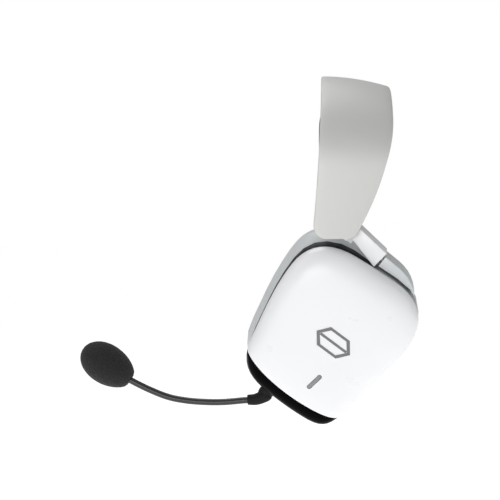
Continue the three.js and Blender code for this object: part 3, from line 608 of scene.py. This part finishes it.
LEG_START_Z = ARCH_CENTRE_Z + ARCH_RISE * math.cos(ARCH_TURN)
LEG_START_Y = ARCH_HALF_WIDTH * math.sin(ARCH_TURN)
LEG_LEAN = math.atan2(-ARCH_HALF_WIDTH * math.cos(ARCH_TURN), ARCH_RISE * math.sin(ARCH_TURN))


def on_arc(angle):
    """A place on the band's middle line (y, z) and its outward direction."""
    out = Vector((0, ARCH_RISE * math.sin(angle), ARCH_HALF_WIDTH * math.cos(angle))).normalized()
    return ARCH_HALF_WIDTH * math.sin(angle), ARCH_CENTRE_Z + ARCH_RISE * math.cos(angle), out


def on_leg(side, z):
    y = side * (LEG_START_Y - (LEG_START_Z - z) * math.tan(LEG_LEAN))
    return y, z, Vector((0, side * math.cos(LEG_LEAN), -math.sin(LEG_LEAN)))


def stations(turn, steps, leg_heights=()):
    arc = [on_arc(turn * (2 * i / steps - 1)) for i in range(steps + 1)]
    left = [on_leg(-1, z) for z in reversed(leg_heights)]
    return left + arc + [on_leg(1, z) for z in leg_heights]


def front_edge(z):
    return BAND_FRONT_X - 4.2 * ((14 - z) / 88) ** 2


def rear_edge(z):
    return BAND_REAR_X - 0.0042 * max(0, -10 - z) ** 2


def camber(x):
    return BAND_CAMBER * (x - BAND_FRONT_X) ** 2


def inward(station, x, depth):
    y, z, out = station
    return Vector((x, y, z)) - depth * out


def band_point(station, x, inside):
    return inward(station, x, inside + camber(x))


def corner_inset(z, radius):
    above = z - BAND_END_Z
    return 0 if above >= radius else radius - math.sqrt(radius**2 - (radius - above) ** 2)


def evenly(low, high, count):
    return [lerp(low, high, i / (count - 1)) for i in range(count)]


def shell_ring(station):
    """The shell's section: a wide shallow crown with rounded edges."""
    z = station[1]
    front = front_edge(z) + corner_inset(z, 8)
    rear = rear_edge(z) - corner_inset(z, 2.5)
    section = [(x, -SHELL_HALF) for x in evenly(front + 1.4, rear - 1.4, 12)]
    section += [(rear - 0.45, -SHELL_HALF + 0.25), (rear, -SHELL_HALF + 0.95), (rear - 0.1, SHELL_HALF - 0.3)]
    section += [(x, SHELL_HALF) for x in evenly(rear - 0.6, front + 0.6, 8)]
    section += [(front + 0.1, SHELL_HALF - 0.3), (front, -SHELL_HALF + 0.95)]
    section.append((front + 0.45, -SHELL_HALF + 0.25))
    return [band_point(station, x, inside) for x, inside in section]


def headband_shell():
    heights = [-46, -50, -54, -58, -62, -66, -70, -73, -75, -76.5, -78, -79.2, -80.2, -81, -81.5, -81.9]
    rings = [shell_ring(s) for s in stations(ARCH_TURN, 72, heights)]
    shell = loft("band_shell", rings)
    bevel(shell, 0.4, 2, 50)
    settle(shell, 40)
    finish(shell, LOOKS["pearl"], "headband", "pearl", "headband_shell")


def liner_floor(z):
    return lerp(LINER_LEG, LINER_TOP, smooth(-34, 6, z))


def pad_top(z):
    """How far inside the band's middle line the pad's upper face lies."""
    return liner_floor(z) + LINER_THICKNESS + 0.6


def pad_depth(x, z):
    """How far inside it the pad's underside lies: even padding on the legs, and flat at the crown."""
    return lerp(pad_top(z) + 6 + camber(x), PAD_UNDERSIDE, smooth(-34, 0, z))


def pad_ring(station, shrink):
    """Section of the head pad, smaller all round by shrink, which the filling swells back."""
    z = station[1]
    front = PAD_FRONT_X - PAD_LEG_STEP * smooth(6, -12, z) + 0.3 * shrink
    rear = PAD_REAR_X - shrink
    top = pad_top(z)

    def under(x):
        return pad_depth(x, z) - shrink

    section = [band_point(station, x, top) for x in evenly(front + 0.6, rear - 0.6, 12)]
    section += [inward(station, rear, under(rear) - 2.2), inward(station, rear - 0.7, under(rear) - 0.7)]
    section += [inward(station, x, under(x)) for x in evenly(rear - 2.5, front + 3, 11)]
    section += [inward(station, front + 0.7, under(front) - 0.8), inward(station, front, under(front) - 2.6)]
    return section


def swell(obj, pressure, reach, held):
    """Fills a closed cover with air by Cloth simulation.

    The held points stay, and none moves further than reach, in millimetres.
    """
    rest = [v.co.copy() for v in obj.data.vertices]
    pins = obj.vertex_groups.new(name="pins")
    pins.add(list(held), 1.0, "REPLACE")
    cloth = obj.modifiers.new("Cloth", "CLOTH")
    settings = cloth.settings
    settings.quality = 5
    settings.mass = 0.2
    settings.tension_stiffness = CLOTH_STIFFNESS
    settings.compression_stiffness = CLOTH_STIFFNESS
    settings.bending_stiffness = 0.4
    settings.use_pressure = True
    settings.uniform_pressure_force = pressure
    settings.vertex_group_mass = "pins"
    settings.effector_weights.gravity = 0
    cloth.collision_settings.use_self_collision = False
    cloth.point_cache.frame_start = 1
    cloth.point_cache.frame_end = CLOTH_FRAMES
    scene = bpy.context.scene
    for step in range(1, CLOTH_FRAMES + 1):
        scene.frame_set(step)
    shown = obj.evaluated_get(bpy.context.evaluated_depsgraph_get())
    moved = [v.co.copy() for v in shown.data.vertices]
    obj.modifiers.clear()
    for vertex, start, end in zip(obj.data.vertices, rest, moved):
        shift = end - start
        if shift.length > reach * MM:
            shift *= reach * MM / shift.length
        vertex.co = start + shift
    obj.vertex_groups.clear()
    scene.frame_set(1)


def headband_pad():
    rings = [pad_ring(s, 0.8) for s in stations(PAD_TURN, 60)]
    pad = loft("head_pad_cover", rings)
    count = len(rings[0])
    glued = {i * count + j for i in range(len(rings)) for j in range(12)}
    swell(pad, 3.5, 0.75, glued)
    modifier(pad, "SUBSURF", levels=1, render_levels=1)
    settle(pad, 70)
    finish(pad, LOOKS["fabric"], "headband", "fabric", "headband_pad")


def pad_seams():
    """Two sewn channels that run along the pad's underside, as raised cord under the knit."""
    for name, x in (("pad_seam_front", -12), ("pad_seam_rear", 9)):
        line = []
        for station in stations(PAD_TURN * 0.95, 60):
            line.append(inward(station, x, pad_depth(x, station[1]) - 0.35))
        seam = loft(name, tube_rings(line, lambda t: 0.55, 8, (1, 0, 0)))
        settle(seam, 60)
        finish(seam, LOOKS["fabric"], "headband", "fabric")


# ------------------------------------------------------------------ ear cups


def outline(steps=10):
    """The cup seen from outside, as points round its edge."""
    points = []
    start = Vector(OUTLINE_START)
    for c1, c2, end in OUTLINE_CURVES:
        a, b, c, d = start, Vector(c1), Vector(c2), Vector(end)
        for i in range(steps):
            t = i / steps
            u = 1 - t
            points.append(u**3 * a + 3 * u * u * t * b + 3 * u * t * t * c + t**3 * d)
        start = d
    return points


EDGE = outline()


def edge_normal(i):
    before, after = EDGE[i - 1], EDGE[(i + 1) % len(EDGE)]
    return Vector((before.y - after.y, after.x - before.x)).normalized()


def grown_point(i, distance, depth):
    """A point of the outline moved outwards.

    Deeper ones drift to the front, and the upper rear corner is tucked in.
    """
    drift = smooth(DRIFT["start"], DRIFT["end"], depth)
    n = edge_normal(i)
    tuck = 2 * max(0, n.x) * max(0, n.y) * CORNER_TUCK
    grow = distance - tuck * drift
    x = EDGE[i].x + n.x * grow + DRIFT["x"] * drift
    y = EDGE[i].y + n.y * grow + DRIFT["y"] * drift
    return Vector((x, y, depth))


def dome_profile(steps=4):
    """The dome's section from its rim to its crown, with the rim turned in a little."""
    fine = curve_points([(s, d, 0) for s, d in DOME], steps)
    profile = [(p.x, p.y) for p in fine]
    return profile + CROWN


def cut_arc(x):
    cx, cy, radius = TRIM_CUT
    return cy - math.sqrt(radius**2 - (x - cx) ** 2)


def cup_outward(side):
    """The direction out of a cup through its cap."""
    out = CUP.to_3x3() @ Vector((0, 0, 1))
    if side == "right":
        out.y = -out.y
    return out


def dome_grid():
    """The whole dome in the cup's own frame, as points and faces."""
    profile = dome_profile()
    points = []
    for scale, depth in profile:
        for p in EDGE:
            q = OUTLINE_CENTRE + (p - OUTLINE_CENTRE) * scale
            points.append(Vector((q.x, q.y, depth)))
    count = len(EDGE)
    faces = grid_faces(len(profile), count)
    crown = len(points)
    points.append(Vector((OUTLINE_CENTRE.x, OUTLINE_CENTRE.y, CROWN_TOP)))
    top = (len(profile) - 1) * count
    faces += [(top + j, top + (j + 1) % count, crown) for j in range(count)]
    return points, faces


def parted_dome(keep_upper):
    """The dome above or below the parting arc, which is straightened for the cut and then bent back."""
    points, faces = dome_grid()
    bm = bmesh.new()
    offset = 0 if keep_upper else -SEAM
    verts = [bm.verts.new((p.x, p.y - cut_arc(p.x) - offset, p.z)) for p in points]
    for face in faces:
        bm.faces.new([verts[i] for i in face])
    bmesh.ops.bisect_plane(
        bm,
        geom=[*bm.verts, *bm.edges, *bm.faces],
        plane_co=(0, 0, 0),
        plane_no=(0, 1, 0),
        clear_inner=keep_upper,
        clear_outer=not keep_upper,
    )
    for v in bm.verts:
        v.co.y += cut_arc(v.co.x) + offset
    bmesh.ops.remove_doubles(bm, verts=bm.verts, dist=0.01)
    return bm


def set_on_cup(bm, side):
    """Moves a sheet from the cup's own frame to its place in metres, with its faces outwards."""
    for v in bm.verts:
        v.co = CUP @ v.co
    if side == "right":
        for v in bm.verts:
            v.co.y = -v.co.y
    bmesh.ops.scale(bm, vec=(MM, MM, MM), verts=bm.verts)
    bmesh.ops.recalc_face_normals(bm, faces=bm.faces)
    face = max(bm.faces, key=lambda f: f.calc_area())
    if face.normal.dot(cup_outward(side)) < 0:
        bmesh.ops.reverse_faces(bm, faces=bm.faces)


def dome_sheet(name, keep_upper, side):
    """The part of the dome above or below the arc that parts the cap from the trim, as a solid shell."""
    bm = parted_dome(keep_upper)
    set_on_cup(bm, side)
    mesh = bpy.data.meshes.new(name)
    bm.to_mesh(mesh)
    bm.free()
    obj = add_object(name, mesh)
    modifier(obj, "SOLIDIFY", thickness=SHEET_THICKNESS * MM, offset=-1)
    if keep_upper:
        cut_notch(obj, side == "right")
    bevel(obj, 0.35, 3, 50)
    return settle(obj, 40)


def cut_notch(obj, mirrored):
    """Cuts the arm's notch out of the cap's rim."""
    (x0, x1), (y0, y1), (z0, z1) = ARM_NOTCH
    corners = [(x0, y0), (x1, y0), (x1, y1), (x0, y1)]
    rings = [[CUP @ Vector((x, y, z)) for x, y in corners] for z in (z0, z1)]
    cutter = loft("notch_cutter", rings, mirrored)
    modifier(obj, "BOOLEAN", operation="DIFFERENCE", solver="EXACT", object=cutter)
    settle(obj)
    bpy.data.objects.remove(cutter)


def surface_tree(obj):
    bm = bmesh.new()
    bm.from_mesh(obj.data)
    tree = BVHTree.FromBMesh(bm)
    bm.free()
    return tree


def laid_on(name, shape, cap, side, low, high):
    """A flat shape (faces in the cup's x and y) laid on the cap.

    It reaches from low to high above the cap's surface, in millimetres.
    """
    tree = surface_tree(cap)
    flip = -1 if side == "right" else 1
    out = cup_outward(side)
    points, faces = shape
    placed = []
    for x, y in points:
        start = CUP @ Vector((x, y, 40))
        start.y *= flip
        hit = tree.ray_cast(start * MM, -out)[0]
        placed.append(hit / MM)
    count = len(points)
    solid = [p + low * out for p in placed] + [p + high * out for p in placed]
    used = {}
    for face in faces:
        for a, b in zip(face, (*face[1:], face[0])):
            used[(a, b)] = face
    walls = [(b, a, a + count, b + count) for a, b in used if (b, a) not in used]
    both = [tuple(reversed(f)) for f in faces] + [tuple(i + count for i in f) for f in faces] + walls
    obj = mesh_object(name, solid, both)
    face_outwards(obj)
    bevel(obj, 0.08, 2, 50)
    return settle(obj, 40)


def ring_shape(outer, inner):
    """The flat faces between two closed loops of equally many points."""
    count = len(outer)
    faces = [(j, (j + 1) % count, count + (j + 1) % count, count + j) for j in range(count)]
    return [*outer, *inner], faces


def hexagon(width, height, steps=6):
    corners = [(-0.5, 0), (-0.28, -0.5), (0.28, -0.5), (0.5, 0), (0.28, 0.5), (-0.28, 0.5)]
    points = []
    for i, (x0, y0) in enumerate(corners):
        x1, y1 = corners[(i + 1) % 6]
        for k in range(steps):
            t = k / steps
            points.append((EMBLEM["x"] + lerp(x0, x1, t) * width, EMBLEM["y"] + lerp(y0, y1, t) * height))
    return points


def emblem(cap, side):
    """A plain hexagonal ring with one bar, a neutral mark printed on the cap."""
    width, height, half = EMBLEM["width"], EMBLEM["height"], EMBLEM["bar"] / 2
    rim = ring_shape(hexagon(width, height), hexagon(width - 4.4, height - 3))
    ring = laid_on("mark_ring_" + side, rim, cap, side, 0.02, 0.16)
    finish(ring, LOOKS["mark"], "cup_" + side, "mark", "emblem_" + side)
    xs = evenly(EMBLEM["x"] - width / 2 + 2.6, EMBLEM["x"] + width / 2 - 2.6, 9)
    points = [(x, EMBLEM["y"] - half) for x in xs] + [(x, EMBLEM["y"] + half) for x in xs]
    faces = [(i, i + 1, i + 10, i + 9) for i in range(8)]
    bar = laid_on("mark_bar_" + side, (points, faces), cap, side, 0.02, 0.16)
    finish(bar, LOOKS["mark"], "cup_" + side, "mark")


def slot_outline(grow):
    """The rounded slot of the status light."""
    half = LED_SLOT["width"] / 2 + grow
    straight = LED_SLOT["length"] / 2 - LED_SLOT["width"] / 2
    turn = math.radians(LED_SLOT["turn"])
    points = []
    for centre, start in ((straight, 0), (-straight, math.pi)):
        for k in range(9):
            a = start + math.pi * k / 8
            x, y = half * math.cos(a), centre + half * math.sin(a)
            across = LED_SLOT["x"] + x * math.cos(turn) - y * math.sin(turn)
            along = LED_SLOT["y"] + x * math.sin(turn) + y * math.cos(turn)
            points.append((across, along))
    return points


def status_light(cap):
    lens = slot_outline(0)
    count = len(lens)
    half = [(j, j + 1, count - 2 - j, count - 1 - j) for j in range(count // 2 - 1)]
    light = laid_on("status_lens", (lens, half), cap, "left", 0.01, 0.1)
    finish(light, LOOKS["lens"], "cup_left", "lens", "light_pipe")
    rim = ring_shape(slot_outline(0.32), slot_outline(0.03))
    seam = laid_on("status_seam", rim, cap, "left", 0.005, 0.04)
    finish(seam, LOOKS["matt_black"], "cup_left", "matt_black")


def cup_shells(side):
    cap = dome_sheet("cap_" + side, True, side)
    finish(cap, LOOKS["white"], "cup_" + side, "white", "cup_cap_" + side)
    trim = dome_sheet("trim_" + side, False, side)
    finish(trim, LOOKS["gloss_black"], "cup_" + side, "gloss_black", "cup_trim_" + side)
    emblem(cap, side)
    if side == "left":
        status_light(cap)


# The cushion's section: share of the way from its outer wall to the ear hole, and depth.
CUSHION_SECTION = [
    (0.10, -10.9), (0.02, -12.2), (0.0, -14.5), (-0.02, -18), (-0.02, -21.5), (0.02, -25), (0.08, -27.8),
    (0.17, -29.8), (0.3, -30.5), (0.45, -30.5), (0.6, -30.5), (0.75, -30.2), (0.88, -28.6), (0.96, -25.8),
    (1.0, -22), (1.0, -17.5), (0.99, -13.5), (0.96, -10.9), (0.75, -10.9), (0.5, -10.9), (0.3, -10.9),
]


def ear_hole_point(i, shrink=0.0, share=1.0):
    """A point on the ear opening's rim facing the outline's own point, or part of the way in from it."""
    bearing = math.atan2(EDGE[i].y / EAR_HOLE[1], EDGE[i].x / EAR_HOLE[0])
    x = EAR_HOLE_X + (EAR_HOLE[0] - shrink) * share * math.cos(bearing)
    return Vector((x, (EAR_HOLE[1] - shrink) * share * math.sin(bearing)))


def cushion_point(i, share, depth):
    outer = grown_point(i, CUSHION_GROWTH, depth)
    hole = ear_hole_point(i)
    return Vector((lerp(outer.x, hole.x, share), lerp(outer.y, hole.y, share), depth))


def ear_cushions():
    """One cushion is filled by simulation and its mesh is mirrored for the other side."""
    rings = []
    for share, depth in CUSHION_SECTION:
        inset = lerp(0.035, 0.965, (share + 0.02) / 1.02)
        raised = depth + 0.9 if depth < -28 else depth
        rings.append([CUP @ cushion_point(i, inset, raised) for i in range(len(EDGE))])
    left = loft("cushion_cover_left", rings, looped=True)
    back = cup_outward("left")
    glued = [v.index for v in left.data.vertices if (v.co / MM - CUP_CENTRE).dot(back) > CUSHION_BACK - 0.5]
    swell(left, 3.0, 1.1, glued)
    modifier(left, "SUBSURF", levels=1, render_levels=1)
    settle(left, 70)
    right = add_object("cushion_cover_right", left.data.copy())
    right.data.transform(Matrix.Scale(-1, 4, (0, 1, 0)))
    right.data.flip_normals()
    seam = seam_line(left)
    for side, obj in zip(SIDES, (left, right)):
        finish(obj, LOOKS["leather"], "cup_" + side, "leather", "ear_cushion_" + side)
        cushion_seam(side, seam)


def seam_line(cushion):
    """A line round the filled cushion's outer edge, lying on its leather."""
    tree = surface_tree(cushion)
    wanted = [CUP @ cushion_point(i, 0.04, -26.5) for i in range(len(EDGE))]
    return [tree.find_nearest(p * MM)[0] / MM for p in wanted]


def cushion_seam(side, line):
    """Piping sewn along the seam line."""
    piping = loft("cushion_piping_" + side, closed_tube(line, 0.5, 8), side == "right", looped=True)
    settle(piping, 60)
    finish(piping, LOOKS["leather"], "cup_" + side, "leather")


def closed_tube(line, radius, sides):
    rings = []
    count = len(line)
    for i, centre in enumerate(line):
        tangent = (line[(i + 1) % count] - line[i - 1]).normalized()
        across = cup_outward("left")
        across = (across - across.dot(tangent) * tangent).normalized()
        up = tangent.cross(across)
        turns = [2 * math.pi * j / sides for j in range(sides)]
        rings.append([centre + radius * (math.cos(a) * across + math.sin(a) * up) for a in turns])
    return rings


def ear_scrim(side):
    """The cloth over the driver, taut but sagging a little in the middle."""
    rows = []
    for share in (1.0, 0.85, 0.65, 0.45, 0.25, 0.08):
        ring = []
        for i in range(len(EDGE)):
            place = ear_hole_point(i, 0.7, share)
            ring.append(CUP @ Vector((place.x, place.y, SCRIM_DEPTH + SCRIM_SAG * (1 - share * share))))
        rows.append(ring)
    cloth = loft("scrim_cloth_" + side, rows, side == "right", ends=False)
    bm = bmesh.new()
    bm.from_mesh(cloth.data)
    bmesh.ops.holes_fill(bm, edges=[e for e in bm.edges if e.is_boundary and e.calc_length() < 0.002])
    bm.to_mesh(cloth.data)
    bm.free()
    modifier(cloth, "SOLIDIFY", thickness=0.4 * MM, offset=0)
    settle(cloth, 50)
    finish(cloth, LOOKS["cloth"], "cup_" + side, "fabric", "ear_scrim_" + side)


# ------------------------------------------------------------------ boom microphone


def mic_boot():
    root = [CUP @ Vector(p) for p in BOOT_ROOT]
    line = curve_points([*root, *BOOT_BEND], 12)
    rings = tube_rings(line, lambda t: lerp(*BOOT_RADII, t), 32)
    boot = loft("mic_boot_sleeve", rings)
    bevel(boot, 0.35, 3, 50)
    settle(boot, 45)
    finish(boot, LOOKS["rubber"], "mic_base", "rubber", "mic_boot")


def ribbed_radius(i):
    """The boom's radius at a step of its line, with a faint rib every four steps."""
    return BOOM_RADIUS - BOOM_RIB + BOOM_RIB * math.cos(2 * math.pi * i / 4)


def gooseneck():
    """The flexible boom in two skins, which meet between its two joints."""
    line = curve_points(BOOM_LINE, 24)
    meet = 3 * 24
    spans = [
        ("boom_skin_lower", line[: meet + 1], 0, "mic_base", "boom_lower", *LOWER_BEND),
        ("boom_skin_upper", line[meet:], meet, "boom_lower", "boom_upper", *UPPER_BEND),
    ]
    for name, part, first, a, b, start, end in spans:
        last = len(part) - 1
        rings = tube_rings(part, lambda t: ribbed_radius(first + round(t * last)), 16)
        skin = loft(name, rings)
        settle(skin, 60)
        skin.data.materials.append(LOOKS["boom"])
        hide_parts(b)
        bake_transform(skin)


def about_foam_axis(name, profile, sides):
    """A body of revolution about the windscreen's long axis, from radii and distances along it."""
    turn = Vector((0, 0, 1)).rotation_difference(FOAM_AXIS)
    rings = []
    for radius, along in profile:
        ring = []
        for j in range(sides):
            a = 2 * math.pi * j / sides
            ring.append(FOAM_CENTRE + turn @ Vector((radius * math.cos(a), radius * math.sin(a), along)))
        rings.append(ring)
    return loft(name, rings)


def windscreen():
    """The foam egg, pinched where it closes on the boom, with a slightly uneven open-cell skin."""
    profile = list(FOAM_NECK)
    for angle in range(-62, 90, 4):
        turn = math.radians(angle)
        radius = (FOAM_RADIUS + 0.8 * math.sin(turn)) * math.cos(turn)
        profile.append((radius, FOAM_HALF_LENGTH * math.sin(turn)))
    egg = about_foam_axis("foam_windscreen", profile, 72)
    for v in egg.data.vertices:
        p = v.co / MM
        away = p - FOAM_CENTRE
        rough = noise.noise(p * 0.9) * 0.12 + noise.noise(p * 3.1) * 0.05
        v.co = (p + away.normalized() * rough) * MM
    settle(egg, 60)
    finish(egg, LOOKS["foam"], "boom_upper", "foam", "mic_foam")


# ------------------------------------------------------------------ stage, light and camera

SIGHT_TARGET = Vector((-60, -72, -88)) * MM
SIGHT_TURN = math.radians(2.5)
SIGHT_DISTANCE = 0.9
SIGHT_SCALE = 0.55 * MM  # metres per pixel at the target, for a picture 500 pixels wide


def camera():
    data = bpy.data.cameras.new("camera")
    back = Vector((math.sin(SIGHT_TURN), -math.cos(SIGHT_TURN), 0))
    data.sensor_width = 36
    data.lens = 36 * SIGHT_DISTANCE / (500 * SIGHT_SCALE)
    obj = add_object("camera", data)
    obj.location = SIGHT_TARGET + SIGHT_DISTANCE * back
    obj.rotation_euler = back.to_track_quat("Z", "Y").to_euler()
    bpy.context.scene.camera = obj


def lamp(name, place, size, power):
    data = bpy.data.lights.new(name, "AREA")
    data.shape = "SQUARE"
    data.size = size
    data.energy = power
    obj = add_object(name, data)
    obj.location = place
    aim = Vector((-0.02, -0.02, -0.1)) - Vector(place)
    obj.rotation_euler = aim.to_track_quat("-Z", "Y").to_euler()


def surroundings():
    """A white studio: bright below, dimmer above eye level, bright overhead, and plain white to the camera."""
    world = bpy.data.worlds.new("studio")
    bpy.context.scene.world = world
    world.use_nodes = True
    nodes, links = world.node_tree.nodes, world.node_tree.links
    place = nodes.new("ShaderNodeTexCoord")
    split = nodes.new("ShaderNodeSeparateXYZ")
    links.new(place.outputs["Generated"], split.inputs["Vector"])
    ramp = nodes.new("ShaderNodeValToRGB")
    ramp.color_ramp.elements.remove(ramp.color_ramp.elements[1])
    for i, (at, level) in enumerate(SKY_BANDS):
        stop = ramp.color_ramp.elements[0] if i == 0 else ramp.color_ramp.elements.new(at)
        stop.position = at
        stop.color = (level, level, level, 1)
    lift = nodes.new("ShaderNodeMapRange")
    lift.inputs["From Min"].default_value = -1
    links.new(split.outputs["Z"], lift.inputs["Value"])
    links.new(lift.outputs["Result"], ramp.inputs["Fac"])
    seen = nodes.new("ShaderNodeLightPath")
    lit = nodes["Background"]
    lit.inputs["Strength"].default_value = SKY_STRENGTH
    links.new(ramp.outputs["Color"], lit.inputs["Color"])
    plain = nodes.new("ShaderNodeBackground")
    plain.inputs["Color"].default_value = (1, 1, 1, 1)
    plain.inputs["Strength"].default_value = 1.0
    choose = nodes.new("ShaderNodeMixShader")
    links.new(seen.outputs["Is Camera Ray"], choose.inputs["Fac"])
    links.new(lit.outputs["Background"], choose.inputs[1])
    links.new(plain.outputs["Background"], choose.inputs[2])
    links.new(choose.outputs["Shader"], nodes["World Output"].inputs["Surface"])
    bpy.context.scene.view_settings.view_transform = "Standard"


def floor():
    corners = [(-1, -1), (1, -1), (1, 1), (-1, 1)]
    points = [(x * FLOOR_HALF, y * FLOOR_HALF, FLOOR_Z) for x, y in corners]
    mesh = bpy.data.meshes.new("floor")
    mesh.from_pydata(points, [], [(0, 1, 2, 3)])
    mesh.materials.append(floor_white())
    obj = add_object("floor", mesh)


# ------------------------------------------------------------------ building it all

# Nodes that keep their CAD shape with softened edges: look, record slot and edge width.
HARD_NODES = {
    "headband_liner": ("pearl", "pearl", 0.3),
    # The housings' wall look holds painted light: grey behind the arm, and painted shade deepening the black
    # at the front.
    "cup_housing_left": ("wall", "matt_black", 0.15),
    "cup_housing_right": ("wall", "matt_black", 0.15),
    "cup_bezel_left": ("silver", "silver", 0.35),
    "cup_bezel_right": ("silver", "silver", 0.35),
    # The arm bodies' pale look is their silver with painted light.
    "arm_body_left": ("pale", "silver", 0.4),
    "arm_body_right": ("pale", "silver", 0.4),
    "arm_cover_left": ("white", "white", 0.45),
    "arm_cover_right": ("white", "white", 0.45),
    "slider_rail_left": ("steel", "steel", 0.2),
    "slider_rail_right": ("steel", "steel", 0.2),
    "power_button": ("matt_black", "matt_black", 0.25),
    "mute_button": ("matt_black", "matt_black", 0.25),
    "usb_socket": ("steel", "steel", 0.1),
}


def main():
    camera()
    surroundings()
    floor()
    for name, place, size, power in LAMPS:
        lamp(name, place, size, power)
    dress_frame()
    headband_shell()
    headband_pad()
    pad_seams()
    for node, (look, slot, width) in HARD_NODES.items():
        refined(node, LOOKS[look], slot, width)
    for side in SIDES:
        cup_shells(side)
        ear_scrim(side)
    ear_cushions()
    mic_boot()
    gooseneck()
    windscreen()


main()
